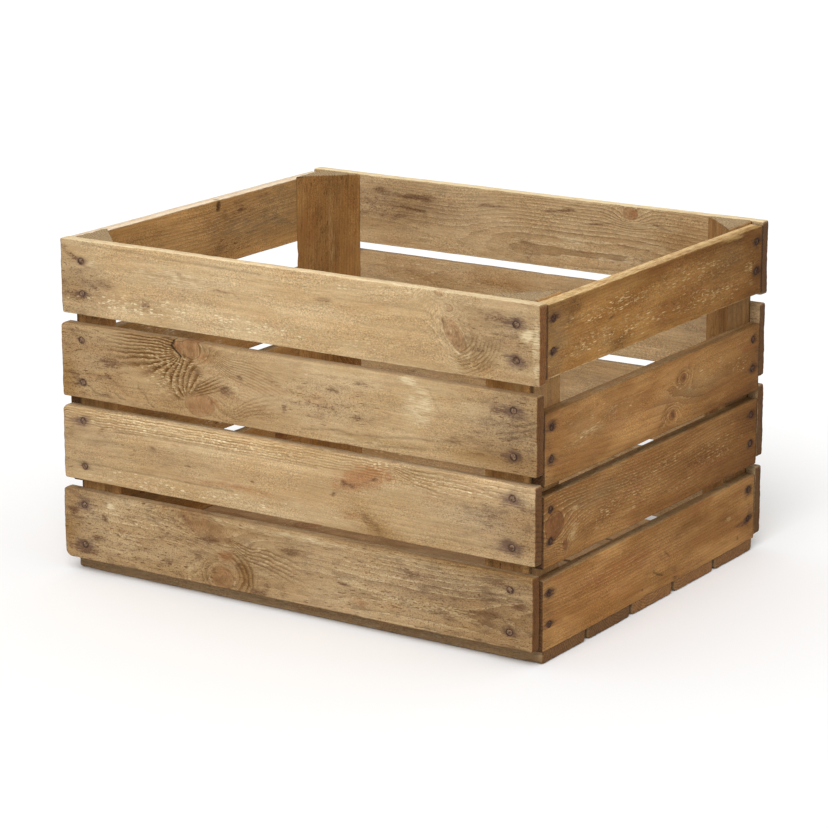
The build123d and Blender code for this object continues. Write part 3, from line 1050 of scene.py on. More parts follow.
ROWS = ("bottom", "lower", "upper", "top")
RIGHT, BACK, UP = np.eye(3)
SIDES = {
    "front": (RIGHT, UP, -BACK),
    "back": (-RIGHT, UP, BACK),
    "right_end": (BACK, UP, RIGHT),
    "left_end": (-BACK, UP, -RIGHT),
}
SEEN_SIDES = ("front", "right_end")
FLOOR_AXES = (RIGHT, -BACK, -UP)
POST_AXES = (UP, RIGHT, BACK)

# How far marks by chance are strewn from a bar's middle, along and across it, in millimetres
LONG_REACH = (240.0, 30.0)
SHORT_REACH = (185.0, 30.0)
POST_REACH = (145.0, 20.0)

# First seeds of the kinds of parts
SLAT_SEED = 11
SIDE_SEED_STEP = 10
FLOOR_SEED = 60
POST_SEED = 80
NAIL_SEED = 9000
NAIL_SEED_STEP = 100

# Grain of a bar: middle of the rings, taper and width of a ring, and how much of each look it has
PLAIN_GRAIN = {
    "pith_v": 0.0,
    "pith_w": -45.0,
    "taper": 0.05,
    "pitch": 2.6,
    "figure": 0.4,
    "edge_pale_and_highlight": 0.15,
    "edge_grey": 0.9,
    "edge_painted_shade": 0.14,
    "dirt": 0.25,
    "halo": (1.0, 1.0),
    "end_gap_shade": 0.0,
    "end_gap_shade_width": 2.2,
    "edge_crevice_shade": 0.0,
    "end_light": 0.65,
    "shade": ((-250.0, -0.2), (-150.0, -0.08), (150.0, -0.08), (250.0, -0.2)),
    "shade_across": ((-35.0, 0.0), (35.0, 0.0)),
    "inner_shade": -0.05,
}
POST_GRAIN = {
    **PLAIN_GRAIN,
    "pith_v": 40.0,
    "pith_w": 60.0,
    "taper": 0.02,
    "edge_pale_and_highlight": 0.0,
    # Painted shade along the edges, where the posts meet the slats
    "edge_crevice_shade": 0.75,
    "end_light": 0.9,
}

# Marks by chance: kind, how many on a face, and the ranges of reach along, reach across and strength
CHANCE_MARKS = (
    ("stains", 5, (5.0, 22.0), (1.5, 5.0), (0.1, 0.4)),
    ("greys", 4, (40.0, 110.0), (10.0, 26.0), (0.4, 1.0)),
    ("darks", 4, (20.0, 70.0), (5.0, 16.0), (0.2, 0.7)),
    ("pales", 3, (12.0, 60.0), (2.0, 6.0), (0.1, 0.4)),
    ("flecks", 4, (40.0, 120.0), (6.0, 16.0), (0.3, 1.0)),
    ("dirts", 3, (20.0, 60.0), (8.0, 20.0), (0.3, 0.9)),
)

# Knots and chips by chance, and how near to the ends and edges marks by chance come
CHANCE_SHARES = (0.85, 0.8)
KNOTS_BELOW = 3
KNOT_RADII = (4.0, 10.0)
KNOT_STRETCH = 1.3
KNOT_STRENGTHS = (0.5, 1.0)
KNOT_TURNS = (-30.0, 30.0)
CHIP_COUNT = 5
CHIP_REACHES = (2.0, 8.0)
CHIP_DEPTHS = (0.6, 2.2)


def chance_marks(seed, half_u, half_v):
    """Knots, stains and worn patches strewn over a board that the photo hides."""
    draw = np.random.default_rng(seed)
    share_u, share_v = CHANCE_SHARES

    def place():
        return draw.uniform(-share_u, share_u) * half_u, draw.uniform(-share_v, share_v) * half_v

    marks = {"knots": []}
    for _ in range(draw.integers(0, KNOTS_BELOW)):
        radius = draw.uniform(*KNOT_RADII)
        spot = (*place(), KNOT_STRETCH * radius, radius)
        marks["knots"].append((*spot, draw.uniform(*KNOT_STRENGTHS), draw.uniform(*KNOT_TURNS)))
    for kind, count, *ranges in CHANCE_MARKS:
        for side in ("", "inner_"):
            marks[side + kind] = [
                (*place(), *[draw.uniform(*limits) for limits in ranges]) for _ in range(count)
            ]
    marks["chips"] = []
    for _ in range(CHIP_COUNT):
        chip_u, edge = draw.uniform(-1.0, 1.0) * half_u, int(draw.integers(0, 4))
        marks["chips"].append((chip_u, edge, draw.uniform(*CHIP_REACHES), draw.uniform(*CHIP_DEPTHS)))
    return marks


def nail_heads(node, outward):
    """Middles of the nail heads in a CAD node, in millimetres."""
    points = np.array([vertex.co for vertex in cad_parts[node].data.vertices]) / MM
    flat = points - np.outer(points @ outward, outward)
    groups = []
    for point, place in zip(points, flat):
        group = next((g for g in groups if np.linalg.norm(g[0] - place) < NAIL_CLUSTER), None)
        if group is None:
            groups.append((place, [point]))
        else:
            group[1].append(point)
    heads = []
    for _, members in groups:
        members = np.array(members)
        depth = members @ outward
        top = members[depth > depth.max() - NAIL_TOP_DEPTH]
        heads.append((top.min(axis=0) + top.max(axis=0)) / 2.0)
    return heads


def make_nails(node, heads, outward, seed, material):
    """One piece with every nail of a CAD node: hammered heads, shanks and points."""
    side = RIGHT if outward @ UP else UP
    axes = np.stack([np.cross(side, outward), side, outward])
    angle = np.arange(NAIL_SEGMENTS) * 2.0 * math.pi / NAIL_SEGMENTS
    ring_count = len(NAIL_PROFILE)
    points, faces = [], []
    for number, head in enumerate(heads):
        draw = np.random.default_rng(seed + number)
        lean = draw.uniform(-NAIL_TILT, NAIL_TILT, 2)
        start = len(points)
        points.append(head + (NAIL_DOME - NAIL_MIDDLE_DROP) * outward)
        uneven = 1.0 + sum(far * np.sin(lobes * angle + turn * number) for far, lobes, turn in NAIL_LOBES)
        for radius, level in NAIL_PROFILE:
            ring = np.stack([radius * uneven * np.cos(angle), radius * uneven * np.sin(angle)], axis=1)
            dents = draw.uniform(-NAIL_DENT, NAIL_DENT, NAIL_SEGMENTS) * (level > 0.0)
            lift = level + dents + ring @ lean * (level > -NAIL_HEAD_THICKNESS)
            points.extend(head + np.column_stack([ring, lift]) @ axes)
        numbers = start + 1 + np.arange(ring_count * NAIL_SEGMENTS).reshape(ring_count, NAIL_SEGMENTS)
        after = np.roll(numbers, -1, axis=1)
        faces += [(start, a, b) for a, b in zip(numbers[0], after[0])]
        for upper, lower, upper_next, lower_next in zip(numbers[:-1], numbers[1:], after[:-1], after[1:]):
            faces += list(zip(upper, lower, lower_next, upper_next))
        faces.append(tuple(numbers[-1][::-1]))
    faces = [[int(i) for i in face] for face in faces]
    mesh = new_mesh("steel_" + node, np.array(points) * MM, faces, material)
    add_piece(mesh, node)


# What the photo shows on the boards in sight, in millimetres from each board's middle.
# Spots are (u, v, reach along, reach across, strength, turn in degrees), cracks (strength, path) and
# chips (u, edge, reach, depth). Plumes, streams and swirls hold what the functions of those names take,
# and round corners hold the radius of each corner by its way along and across the board.
SEEN_MARKS = {
    "front_top_slat": {
        "knots": [(167, -1, 17, 7, 0.55, -52), (162, 21, 3.5, 3, 0.5), (152, 33, 5, 4, 0.35)],
        "swirls": [(164, 2, 1.25, 15, 46, 2.9, -44, 44, 0.45)],
        "flecks": [
            (-165, -19, 90, 9, 1), (-60, -21, 70, 9, 0.9), (40, -24, 90, 8, 0.5), (175, -22, 20, 9, 1),
            (60, 28, 200, 6, 0.4),
        ],
        "pales": [
            (237, 7, 6, 5, 1.3), (246, 4, 3, 18, 0.6), (246, -22, 3, 9, 0.5), (-120, 12, 70, 12, 0.3),
            (-212, 14, 7, 4, 0.4),
        ],
        "stains": [
            (-197, -4, 9, 5, 0.45), (-210, -8, 4, 3, 0.5), (-236, 19, 10, 3, 0.5, -25),
            (-228, -17, 14, 4, 0.6), (-155, -18, 7, 6, 0.35), (-117, 16, 4, 3, 0.3),
            (-72, 6, 11, 1.6, 0.4), (-54, 2.5, 8, 1.6, 0.35, -35), (36, 12, 20, 3, 0.3),
            (190, -11, 6, 3, 0.5), (212, 17, 26, 7, 0.35),
        ],
        "greys": [(205, 8, 40, 22, 0.6), (-225, -5, 30, 26, 0.7), (-130, 8, 60, 16, 0.6)],
        "dirts": [(-225, -10, 30, 24, 0.9), (-150, -16, 40, 12, 0.5), (205, 0, 45, 30, 0.7)],
        "darks": [(-232, -10, 24, 22, 0.35), (190, -24, 26, 9, 0.4), (230, -30, 40, 8, 0.25)],
        "cracks": [
            (0.15, [(50, 15), (105, 15.5), (140, 15), (158, 8)]),
            (0.3, [(-225, 31), (-130, 27.5), (-30, 26)]),
        ],
        "chips": [(-228, 3, 5, 1.6), (-90, 1, 8, 0.9), (120, 1, 5, 1), (244, 2, 4, 1.6)],
    },
    "front_upper_slat": {
        "knots": [(-104, 28, 11, 9, 1), (-113, 27.5, 9, 5.5, 1, -12), (-95, -20.5, 15.5, 11, 0.65)],
        "cracks": [
            (1, [(-121.5, 33.5), (-125.3, 27.5), (-114.5, 19.5)]),
            (0.3, [(14, -27), (34, -24.5), (52, -22.5), (64, -24.5)]),
            (0.25, [(64, -24.5), (100, -22), (128, -18.5), (170, -16)]),
            (0.3, [(90, -31), (118, -28), (140, -27)]), (0.15, [(143, 27), (150, 15), (157, 4)]),
            (0.5, [(228, 6), (238, 9), (248, 12)]), (0.45, [(222, 0), (236, 3), (249, 8)]),
            (0.4, [(216, -6), (230, -3), (243, 1)]),
            (0.3, [(-218, -22), (-213, -26.5), (-206, -29), (-200, -28), (-196, -28.5)]),
            (0.25, [(-190, -24), (-185, -27.5), (-178, -29)]),
            (0.25, [(-163, -13), (-161.5, -18), (-155, -21.5), (-152.5, -27), (-146, -31)]),
        ],
        "plumes": [
            (-100, 30, -16, 120, 20, 3.2, 40, 0.38, 40, 3), (-114, -17, 24, 62, 11, 3.8, 22, 0.9, 10, 0),
            (-78, -24, 12, 90, 16, 4.4, 30, 0.35, 20, 5),
        ],
        "streams": [(-118.5, 22.5, -108, -18, 12, 0.33, 0.05, 12, 95, 22, 1)],
        "stains": [
            (-66, -4, 8, 4.5, 0.6), (-50, 9, 4, 2.5, 0.6), (-95, 8, 9, 5, 0.35), (-197, -9, 5, 2.5, 0.5),
            (-195, 3, 14, 5, 0.4), (-3.5, -11, 3, 7, 0.4), (42, -4, 16, 2.5, 0.4), (70, -8, 7, 2.5, 0.45),
            (78, 20, 14, 3.5, 0.3), (45, 12, 9, 2.5, 0.35), (180, -13, 36, 5, 0.3),
            (215, 18, 10, 4, 0.4, 15),
        ],
        "warms": [
            (-102, 28, 9, 7, 1), (-88, 22, 16, 8, 0.5), (-80, -20, 6, 9, 0.6), (-60, -12, 26, 5, 0.3),
            (-90, 0, 190, 60, 0.22),
        ],
        "greys": [(-225, 5, 30, 26, 0.4), (220, 0, 40, 34, 1)],
        "darks": [
            (-243, -15, 10, 26, 0.5), (-140, 8, 40, 16, 0.3), (110, -26, 60, 5, 0.5),
            (185, -24, 60, 8, 0.5),
        ],
        "dirts": [(-220, 0, 45, 34, 1), (40, 0, 50, 20, 0.8), (225, 0, 30, 34, 1)],
        "pales": [(134, 12, 16, 18, 0.5), (124, 31, 10, 4, 0.7), (90, -28, 60, 3, 0.35)],
        "flecks": [(-128, 4, 30, 24, 0.9), (-205, -22, 30, 6, 0.5), (20, 20, 90, 12, 0.25)],
        "chips": [(-140, 2, 6, 1.2), (-245, 2, 5, 1.5), (60, 3, 5, 1.2), (240, 2, 5, 1.8)],
        "round_corners": {(-1, 1): 4},
    },
    "front_lower_slat": {
        "knots": [(104, 21, 3.5, 4, 0.7)],
        "warms": [
            (79, 17, 32, 12, 0.9, 19), (60, 9, 11, 6, 0.8, 15), (-60, -14, 60, 4, 0.5),
            (62, -20, 16, 7, 0.4), (0, 0, 270, 60, 0.15),
        ],
        "stains": [
            (47, -3, 4, 3, 0.55), (58, 8, 5, 3, 0.6), (66, 7, 4, 2.5, 0.5), (88, 15, 9, 1.6, 0.5, 22),
            (80, 11, 8, 1.4, 0.4, 25), (-206, 16, 5, 5, 0.4), (88, -24, 18, 5, 0.35, -38),
            (-110, -3, 5, 2, 0.35), (-148, 8, 5, 1.8, 0.3), (-38, -6, 4, 1.5, 0.4), (205, 3, 20, 5, 0.25),
            (240, 14, 12, 3, 0.3),
        ],
        "plumes": [
            (98, 26, -4, 90, 14, 4.2, 26, 0.45, 14, -3), (62, 24, 168, 50, 10, 4.2, 24, 0.4, 20, 2),
            (-262, 26, 0, 640, 11, 2.4, 1, 0.42, 100, 0),
        ],
        "figures": [(-110, 27, 150, 11, 1.1), (180, 26, 80, 14, 0.9), (150, -24, 80, 8, 0.4)],
        "flecks": [
            (-110, 24, 130, 10, 0.55), (-110, -25, 140, 9, 0.7), (90, 30, 16, 4, 0.9),
            (85, -20, 14, 8, 0.6), (160, 20, 60, 10, 0.5),
        ],
        "greys": [(200, -2, 50, 26, 0.9), (-215, 5, 30, 26, 0.6), (-110, 0, 50, 10, 0.5)],
        "darks": [(92, -26, 22, 9, 0.5, -30), (150, 30, 40, 6, 0.4), (235, 0, 20, 34, 0.3)],
        "dirts": [(210, 0, 40, 30, 0.8), (-150, 2, 60, 14, 0.5)],
        "cracks": [(0.25, [(-190, 17), (-100, 17.5), (30, 17)]), (0.25, [(-240, -18), (-60, -18)])],
        "chips": [(-244, 2, 6, 2), (246, 2, 4, 2), (30, 3, 6, 1)],
        "round_corners": {(-1, 1): 5},
    },
    "front_bottom_slat": {
        "knots": [(-71, -23, 12, 10.5, 0.7), (-90, 21, 28, 11, 0.5, -18)],
        "plumes": [(-72, 14, -14, 110, 17, 5, 34, 0.6, 30, 4)],
        "swirls": [
            (-70, -20, 1.15, 14, 36, 4.6, 5, 78, 0.65), (-71, -22, 1.2, 12.5, 22, 4.6, 200, 85, 0.5),
        ],
        "warms": [(-66, -2, 11, 6, 0.9), (74, -18, 12, 4, 0.5), (112, -17, 12, 2.5, 0.5)],
        "stains": [
            (-85, 9, 14, 2.5, 0.6, 8), (-112, 24, 9, 4, 0.5, -30), (-52, -8, 5, 3, 0.5),
            (-5, -25, 5, 6, 0.4), (4, 14, 20, 4, 0.4), (-202, 10, 5, 4, 0.6, -50), (-185, 1, 7, 3, 0.4),
            (-140, 2, 9, 3, 0.4), (-214, -9, 8, 3, 0.6), (-130, -20, 5, 2.5, 0.4), (56, -6, 14, 1.6, 0.5),
            (80, -11, 12, 1.6, 0.4), (105, -6, 16, 2.5, 0.3), (150, -15, 14, 4, 0.3),
            (235, 5, 5, 2.5, 0.5), (-30, -31, 16, 4, 0.4), (-118, -28, 10, 5, 0.4),
            (-170, 16, 12, 5, 0.35), (-238, 12, 8, 5, 0.5), (-226, -24, 16, 4, 0.5),
            (-160, -12, 12, 2.5, 0.4), (-24, -22, 5, 7, 0.4), (140, 16, 22, 2, 0.4),
            (196, -6, 24, 2.5, 0.4), (222, 22, 18, 3, 0.45),
        ],
        "pales": [(-196, 22, 5, 4, 0.7), (-107, -22, 7, 7, 0.4), (20, 28, 230, 3, 0.4)],
        "greys": [
            (0, 0, 260, 60, 0.35), (170, 5, 70, 28, 1), (225, 0, 40, 40, 1.2), (-225, 0, 30, 34, 0.8),
        ],
        "darks": [
            (-243, 0, 12, 34, 0.4), (-45, -14, 8, 14, 0.6), (-100, 22, 30, 9, 0.4), (4, 14, 20, 7, 0.5),
            (-150, -26, 70, 7, 0.4), (-125, 28, 30, 6, 0.5), (110, 30, 140, 4, 0.5),
            (-20, 24, 60, 5, 0.35),
        ],
        "dirts": [(-190, 0, 90, 34, 1), (-110, -20, 30, 14, 1), (170, 5, 90, 30, 1)],
        "figures": [(150, 0, 110, 40, 0.9), (-190, 0, 60, 30, 0.5)],
        "flecks": [(-150, 10, 60, 12, 0.35), (-20, 0, 60, 20, 0.3), (-107, -20, 12, 11, 0.8)],
        "cracks": [(0.35, [(196, 12), (215, 12.5), (238, 11)]), (0.3, [(192, 6), (222, 6.5)])],
        "chips": [(-235, 2, 7, 1.6), (-170, 3, 6, 1.4), (200, 3, 6, 1.2)],
        "round_corners": {(-1, -1): 7, (-1, 1): 3},
    },
    "right_end_top_slat": {
        "flecks": [
            (-80, 9, 100, 9, 0.75), (-80, -14, 120, 12, 0.7), (60, 12, 90, 14, 0.7),
            (90, -14, 90, 12, 0.75), (165, -2, 14, 14, 0.9),
        ],
        "stains": [(-85, 1, 6, 2, 0.4), (23, -10, 5, 1.5, 0.4, -35), (-82, -12, 4, 2, 0.4)],
        "greys": [
            (-175, 0, 24, 34, 0.6), (-150, -16, 40, 14, 0.3), (-94, -18, 14, 10, 0.5),
            (125, 15, 40, 16, 0.4),
        ],
        "darks": [
            (-150, 22, 14, 10, 0.5), (-72, -28, 12, 8, 0.7), (180, 18, 14, 16, 0.5),
            (175, -26, 16, 10, 0.5),
        ],
        "dirts": [(-72, -27, 14, 8, 1), (110, -14, 16, 9, 0.8), (-150, 21, 18, 12, 1)],
        "pales": [(132, 29.5, 18, 2.6, 1), (165, -5, 10, 3, 0.4), (168, -19, 7, 2, 0.5)],
        "chips": [(130, 2, 15, 2.6), (-40, 2, 10, 1), (60, 3, 6, 1)],
    },
    "right_end_upper_slat": {
        "knots": [(46, 11, 5, 4, 1), (27, -18.5, 5.5, 4, 1)],
        "plumes": [(-2, -30, 50, 46, 7, 3.4, 14, 0.5, 20, 3)],
        "swirls": [(46, 11, 1.5, 4, 13, 3, 0, 190, 0.3), (27, -18.5, 1.5, 5, 15, 3.2, 160, 100, 0.5)],
        "stains": [
            (-105, 22, 4, 1.6, 0.4), (-150, -2, 6, 1.4, 0.4), (35, 12, 3, 4, 0.3),
            (27, -18.5, 3, 2.5, 0.8), (46, 11, 2.5, 2, 0.7),
        ],
        "warms": [(168, 14, 12, 4, 0.6), (20, -12, 20, 12, 0.3)],
        "figures": [(30, -5, 60, 20, 0.3)],
        "flecks": [
            (-130, -2, 30, 8, 0.5), (-80, 10, 80, 14, 0.35), (100, 10, 70, 14, 0.4),
            (155, -2, 24, 10, 0.6),
        ],
        "greys": [(60, -4, 60, 10, 0.6), (-120, 0, 40, 8, 0.5), (-110, 4, 70, 26, 0.35)],
        "pales": [(-120, 1, 34, 4, 0.25)],
        # The dark along the upper edge near the corner is painted shade
        "darks": [(-165, 33, 40, 4, 0.9)],
    },
    "right_end_lower_slat": {
        "knots": [(-173, 3, 15, 12, 1), (-155, -18, 4, 5, 1)],
        "pales": [(-143, -10, 9, 9, 0.4), (-140, 9, 8, 3, 0.4)],
        "flecks": [
            (-60, -6, 110, 16, 0.5), (0, 10, 120, 8, 0.45), (115, 2, 50, 16, 0.9), (50, -18, 40, 8, 0.6),
        ],
        "warms": [(100, -8, 50, 12, 0.4), (-60, 2, 60, 6, 0.3)],
        "figures": [(0, 10, 190, 26, 0.35)],
        "darks": [(170, 0, 40, 34, 0.2), (30, 0, 60, 8, 0.3)],
        "greys": [(-110, 12, 60, 12, 0.5)],
        "stains": [(-58, -14, 2.5, 3, 0.4), (-55, 1, 6, 2, 0.3)],
    },
    "right_end_bottom_slat": {
        "stains": [
            (-22, -24, 3, 2, 0.5), (160, -23, 3, 2.5, 0.5), (36, -20, 10, 4, 0.3), (40, -28, 6, 2, 0.4),
            (130, 2, 10, 2, 0.35), (165, -11, 20, 3, 0.4),
        ],
        "darks": [(65, 16, 34, 5, 0.5), (-30, -24, 90, 2.5, 0.3), (130, 5, 40, 20, 0.25)],
        "warms": [(-60, 8, 110, 8, 0.4), (20, -4, 110, 5, 0.3)],
        "pales": [(140, -0.5, 6, 2.5, 0.45)],
        "figures": [(-60, 10, 160, 20, 0.3)],
        "cracks": [(0.6, [(0, -13), (8, -17), (17, -20)]), (0.4, [(19, 0.5), (24, -2), (29, -6)])],
        "flecks": [(0, 10, 180, 20, 0.15)],
    },
    "left_end_top_slat": {
        "knots": [],
        "inner_stains": [(-21, 25.5, 2.8, 5, 1.2), (-60, 16, 16, 1.5, 0.4), (-95, 24, 12, 1.2, 0.4)],
        "inner_darks": [(-21, 25.5, 3.5, 5.5, 1), (90, 0, 40, 20, 0.3)],
        "inner_figures": [(-30, 10, 130, 26, 0.4)],
        "inner_flecks": [],
        "inner_pales": [],
    },
    "back_top_slat": {
        "knots": [(-111, 27, 8, 6, 0.9)],
        "inner_stains": [
            (126, 17, 22, 3.5, 0.7), (132, 5, 24, 1.6, 0.7), (170, 20, 10, 4, 0.5), (150, -4, 20, 3, 0.5),
            (40, 18, 20, 2, 0.4), (-40, 22, 24, 1.6, 0.5, -6), (-75, 13, 20, 1.4, 0.4, -10),
            (-140, 18, 16, 1.6, 0.4, 10),
        ],
        "inner_greys": [(120, 10, 90, 20, 0.8)],
        "inner_darks": [(140, 6, 40, 20, 0.5), (-165, 10, 34, 34, 0.5)],
        "inner_figures": [(-80, 10, 110, 40, 1.3), (90, 10, 90, 30, 0.5)],
        "inner_flecks": [(150, 16, 30, 10, 0.4)],
    },
}

# Grain and overall tone of the boards in sight, with shade as (place, brighter or darker). The shade courses
# are partly the wood's own tone and partly painted light and shade, such as the right end darkening towards
# its far end, strips along the slats' edges, and the lighter inner face of the left end
SEEN_GRAIN = {
    # The left end's top slat gets painted light on its inner face, and the top slats get pale edges that are
    # partly a painted highlight
    "left_end_top_slat": {"inner_shade": 0.1, "edge_pale_and_highlight": 0.8, "edge_grey": 0.1, "edge_painted_shade": 0},
    "back_top_slat": {"pitch": 2.2, "edge_pale_and_highlight": 0.8, "edge_grey": 0.1, "edge_painted_shade": 0},
    "front_top_slat": {
        "pith_v": -6, "pith_w": -60, "pitch": 2.8, "figure": 0.3, "edge_pale_and_highlight": 0.5, "edge_grey": 0.1,
        "edge_painted_shade": 0, "dirt": 0.1,
        "halo": (0.7, 1.3),
        "end_light": 1.42,
        "shade": (
            (-250, -0.06), (-180, 0.08), (-60, 0.1), (100, 0.08), (150, 0.02), (185, -0.12), (250, -0.04),
        ),
        "shade_across": ((-35, -0.05), (0, 0), (35, 0.02)),
    },
    "front_upper_slat": {
        "pith_v": 10, "pith_w": -34, "pitch": 2.4, "figure": 0.3, "dirt": 0.3,
        "halo": (0.8, 1.4),
        "end_light": 0.95,
        "shade": (
            (-250, -0.25), (-175, -0.12), (-125, -0.23), (-75, -0.1), (30, 0.04), (150, -0.02),
            (250, -0.25),
        ),
        "shade_across": ((-35, -0.1), (0, 0), (35, -0.02)),
    },
    "front_lower_slat": {
        "pith_v": 120, "pith_w": -20, "pitch": 4.4, "figure": 0.3, "dirt": 0.15,
        "halo": (1, 1.25),
        "end_light": 0.85,
        "shade": (
            (-250, -0.15), (-180, -0.03), (-80, -0.02), (-20, 0.08), (75, -0.14), (130, -0.13),
            (190, 0.02), (250, -0.05),
        ),
        "shade_across": ((-35, -0.04), (-16, -0.08), (8, 0), (18, 0.16), (35, 0.36)),
    },
    "front_bottom_slat": {
        "pith_v": -12, "pith_w": -30, "pitch": 2.6, "figure": 0.4, "dirt": 0.6,
        "halo": (1.1, 1),
        "end_light": 1,
        "shade": (
            (-250, -0.23), (-180, -0.05), (-75, -0.23), (25, 0), (130, -0.12), (180, -0.28), (250, -0.33),
        ),
        "shade_across": ((-35, 0), (-8, -0.07), (15, 0.07), (35, 0)),
    },
    "right_end_top_slat": {
        "pith_v": 90, "pith_w": -30, "pitch": 2.4, "end_gap_shade_width": 4.4, "edge_pale_and_highlight": 0.6, "edge_grey": 0.1,
        "edge_painted_shade": 0, "figure": 0.4, "dirt": 0.25,
        "halo": (0.9, 1),
        "shade": (
            (-190, 0), (-140, 0.1), (-60, -0.04), (0, -0.18), (60, -0.26), (150, -0.42), (190, -0.68),
        ),
        "shade_across": ((-35, 0.06), (5, 0), (22, -0.1), (28.5, -0.32), (31, -0.14)),
    },
    "right_end_upper_slat": {
        "pith_v": 8, "pith_w": -40, "edge_painted_shade": 0.3, "figure": 0.4, "dirt": 0.2,
        "halo": (0.95, 1),
        "shade": (
            (-190, 0.02), (-130, 0.15), (-60, 0.14), (20, 0.04), (100, -0.22), (150, -0.3), (190, -0.44),
        ),
        "shade_across": ((-35, -0.42), (-22, -0.04), (0, 0.05), (20, -0.03), (35, -0.16)),
    },
    "right_end_lower_slat": {
        "pith_v": -70, "pith_w": -30, "edge_painted_shade": 0.3, "figure": 0.5, "dirt": 0.15,
        "halo": (0.8, 1),
        "shade": ((-190, -0.09), (-50, -0.07), (0, -0.17), (100, -0.39), (190, -0.55)),
        "shade_across": ((-35, -0.04), (-5, -0.06), (35, 0.05)),
    },
    "right_end_bottom_slat": {
        "pith_v": -150, "pith_w": -30, "pitch": 3, "figure": 0.45, "dirt": 0.25,
        "halo": (1, 1),
        "shade": ((-190, 0.03), (-70, 0.18), (0, -0.05), (60, -0.2), (110, 0.01), (190, -0.17)),
        "shade_across": ((-35, 0.02), (-10, 0.04), (12, -0.06), (35, 0)),
    },
}

# How light the sawn ends of the floor boards are, from the front to the back
FLOOR_END_LIGHTS = (0.7, 0.6, 1.1, 1.05, 0.85)

# How far the growth rings' middle moves from one floor board to the next
FLOOR_PITH_STEP = 25.0

# Chips at both ends of the floor boards: how far out, how long, and how deep on which long edges
FLOOR_CHIP_PLACE = 243.0
FLOOR_CHIP_REACH = 14.0
FLOOR_CHIP_DEPTHS = {2: 2.4, 3: 2.8}

# Overall tone of the posts, and how dark the painted shade on the front posts behind the front slats is
POSTS = {
    "front_left_post": (-0.1, 0.5),
    "front_right_post": (0.2, 1.0),
    "back_left_post": (-0.38, None),
    "back_right_post": (-0.2, None),
}

# Where painted shade darkens the front posts behind the front slats: (u, v, reach along, reach across)
POST_PAINTED_SHADE = ((0.0, -10.0, 600.0, 14.0), (0.0, 8.0, 600.0, 9.0))

# Range of the growth rings' middle, and of their taper, in boards that are not given one
PITH_V_RANGE = (-60.0, 60.0)
PITH_W_RANGE = (-60.0, -25.0)
TAPER_RANGE = (-0.06, 0.06)

# How dark the painted shade at the end slats' ends is, in the gaps where they meet the front and back slats
END_SLAT_GAP_SHADE = 0.85


def post_corners(node):
    """The post's three-cornered section, with the middle of its long side as the fourth corner."""
    low, high = box_mm(node)
    half = (high - low)[:2] / 2.0
    facing = np.sign((low + high)[:2])
    corners = np.array([(1.0, -1.0), (1.0, 1.0), (-1.0, 1.0), (0.0, 0.0)]) * half * facing
    return corners if facing.prod() > 0.0 else corners[::-1]


def left_to_chance(kind):
    """Whether a board in sight keeps the marks of a kind that chance has strewn."""
    return kind.startswith("inner_") or kind == "chips"


bars = []
for side_number, (side, axes) in enumerate(SIDES.items()):
    for row_number, row in enumerate(ROWS):
        node = f"{side}_{row}_slat"
        seed = SLAT_SEED + SIDE_SEED_STEP * side_number + row_number
        draw = np.random.default_rng(seed)
        grain = {
            **PLAIN_GRAIN,
            "pith_v": draw.uniform(*PITH_V_RANGE),
            "pith_w": draw.uniform(*PITH_W_RANGE),
            "taper": draw.uniform(*TAPER_RANGE),
            "end_gap_shade": END_SLAT_GAP_SHADE if "_end" in side else 0.0,
            **SEEN_GRAIN.get(node, {}),
        }
        marks = chance_marks(seed, *(SHORT_REACH if "_end" in side else LONG_REACH))
        if side in SEEN_SIDES:
            marks = {kind: spots for kind, spots in marks.items() if left_to_chance(kind)}
        bar = Bar(node, axes, seed, grain, {**marks, **SEEN_MARKS.get(node, {})})
        if side in SEEN_SIDES:
            bar.spacing = (SEEN_STATION_SPACING, SEEN_FACE_SPACING)
        bars.append((bar, side))

middle_number = (len(FLOOR_END_LIGHTS) + 1) // 2
for number, end_light in enumerate(FLOOR_END_LIGHTS, 1):
    seed = FLOOR_SEED + number
    grain = {**PLAIN_GRAIN, "pith_v": FLOOR_PITH_STEP * (number - middle_number), "end_light": end_light}
    marks = chance_marks(seed, *LONG_REACH)
    for end, (edge, depth) in itertools.product((-1, 1), FLOOR_CHIP_DEPTHS.items()):
        marks["chips"].append((end * FLOOR_CHIP_PLACE, edge, FLOOR_CHIP_REACH, depth))
    bars.append((Bar(f"floor_board_{number}", FLOOR_AXES, seed, grain, marks), "floor"))

for number, (node, (level, dark)) in enumerate(POSTS.items()):
    seed = POST_SEED + number
    grain = {**POST_GRAIN, "shade": ((0.0, level),), "inner_shade": level}
    marks = {**chance_marks(seed, *POST_REACH), "flecks": [], "inner_flecks": []}
    # Painted shade on the front posts behind the front slats
    if dark is not None:
        marks["inner_darks"] = [(*spot, dark) for spot in POST_PAINTED_SHADE]
    bars.append((Bar(node, POST_AXES, seed, grain, marks, post_corners(node)), "post"))

NAIL_SIDES = {**{side: axes[2] for side, axes in SIDES.items()}, "floor": FLOOR_AXES[2]}
heads = {side: nail_heads(f"{side}_nails", outward) for side, outward in NAIL_SIDES.items()}

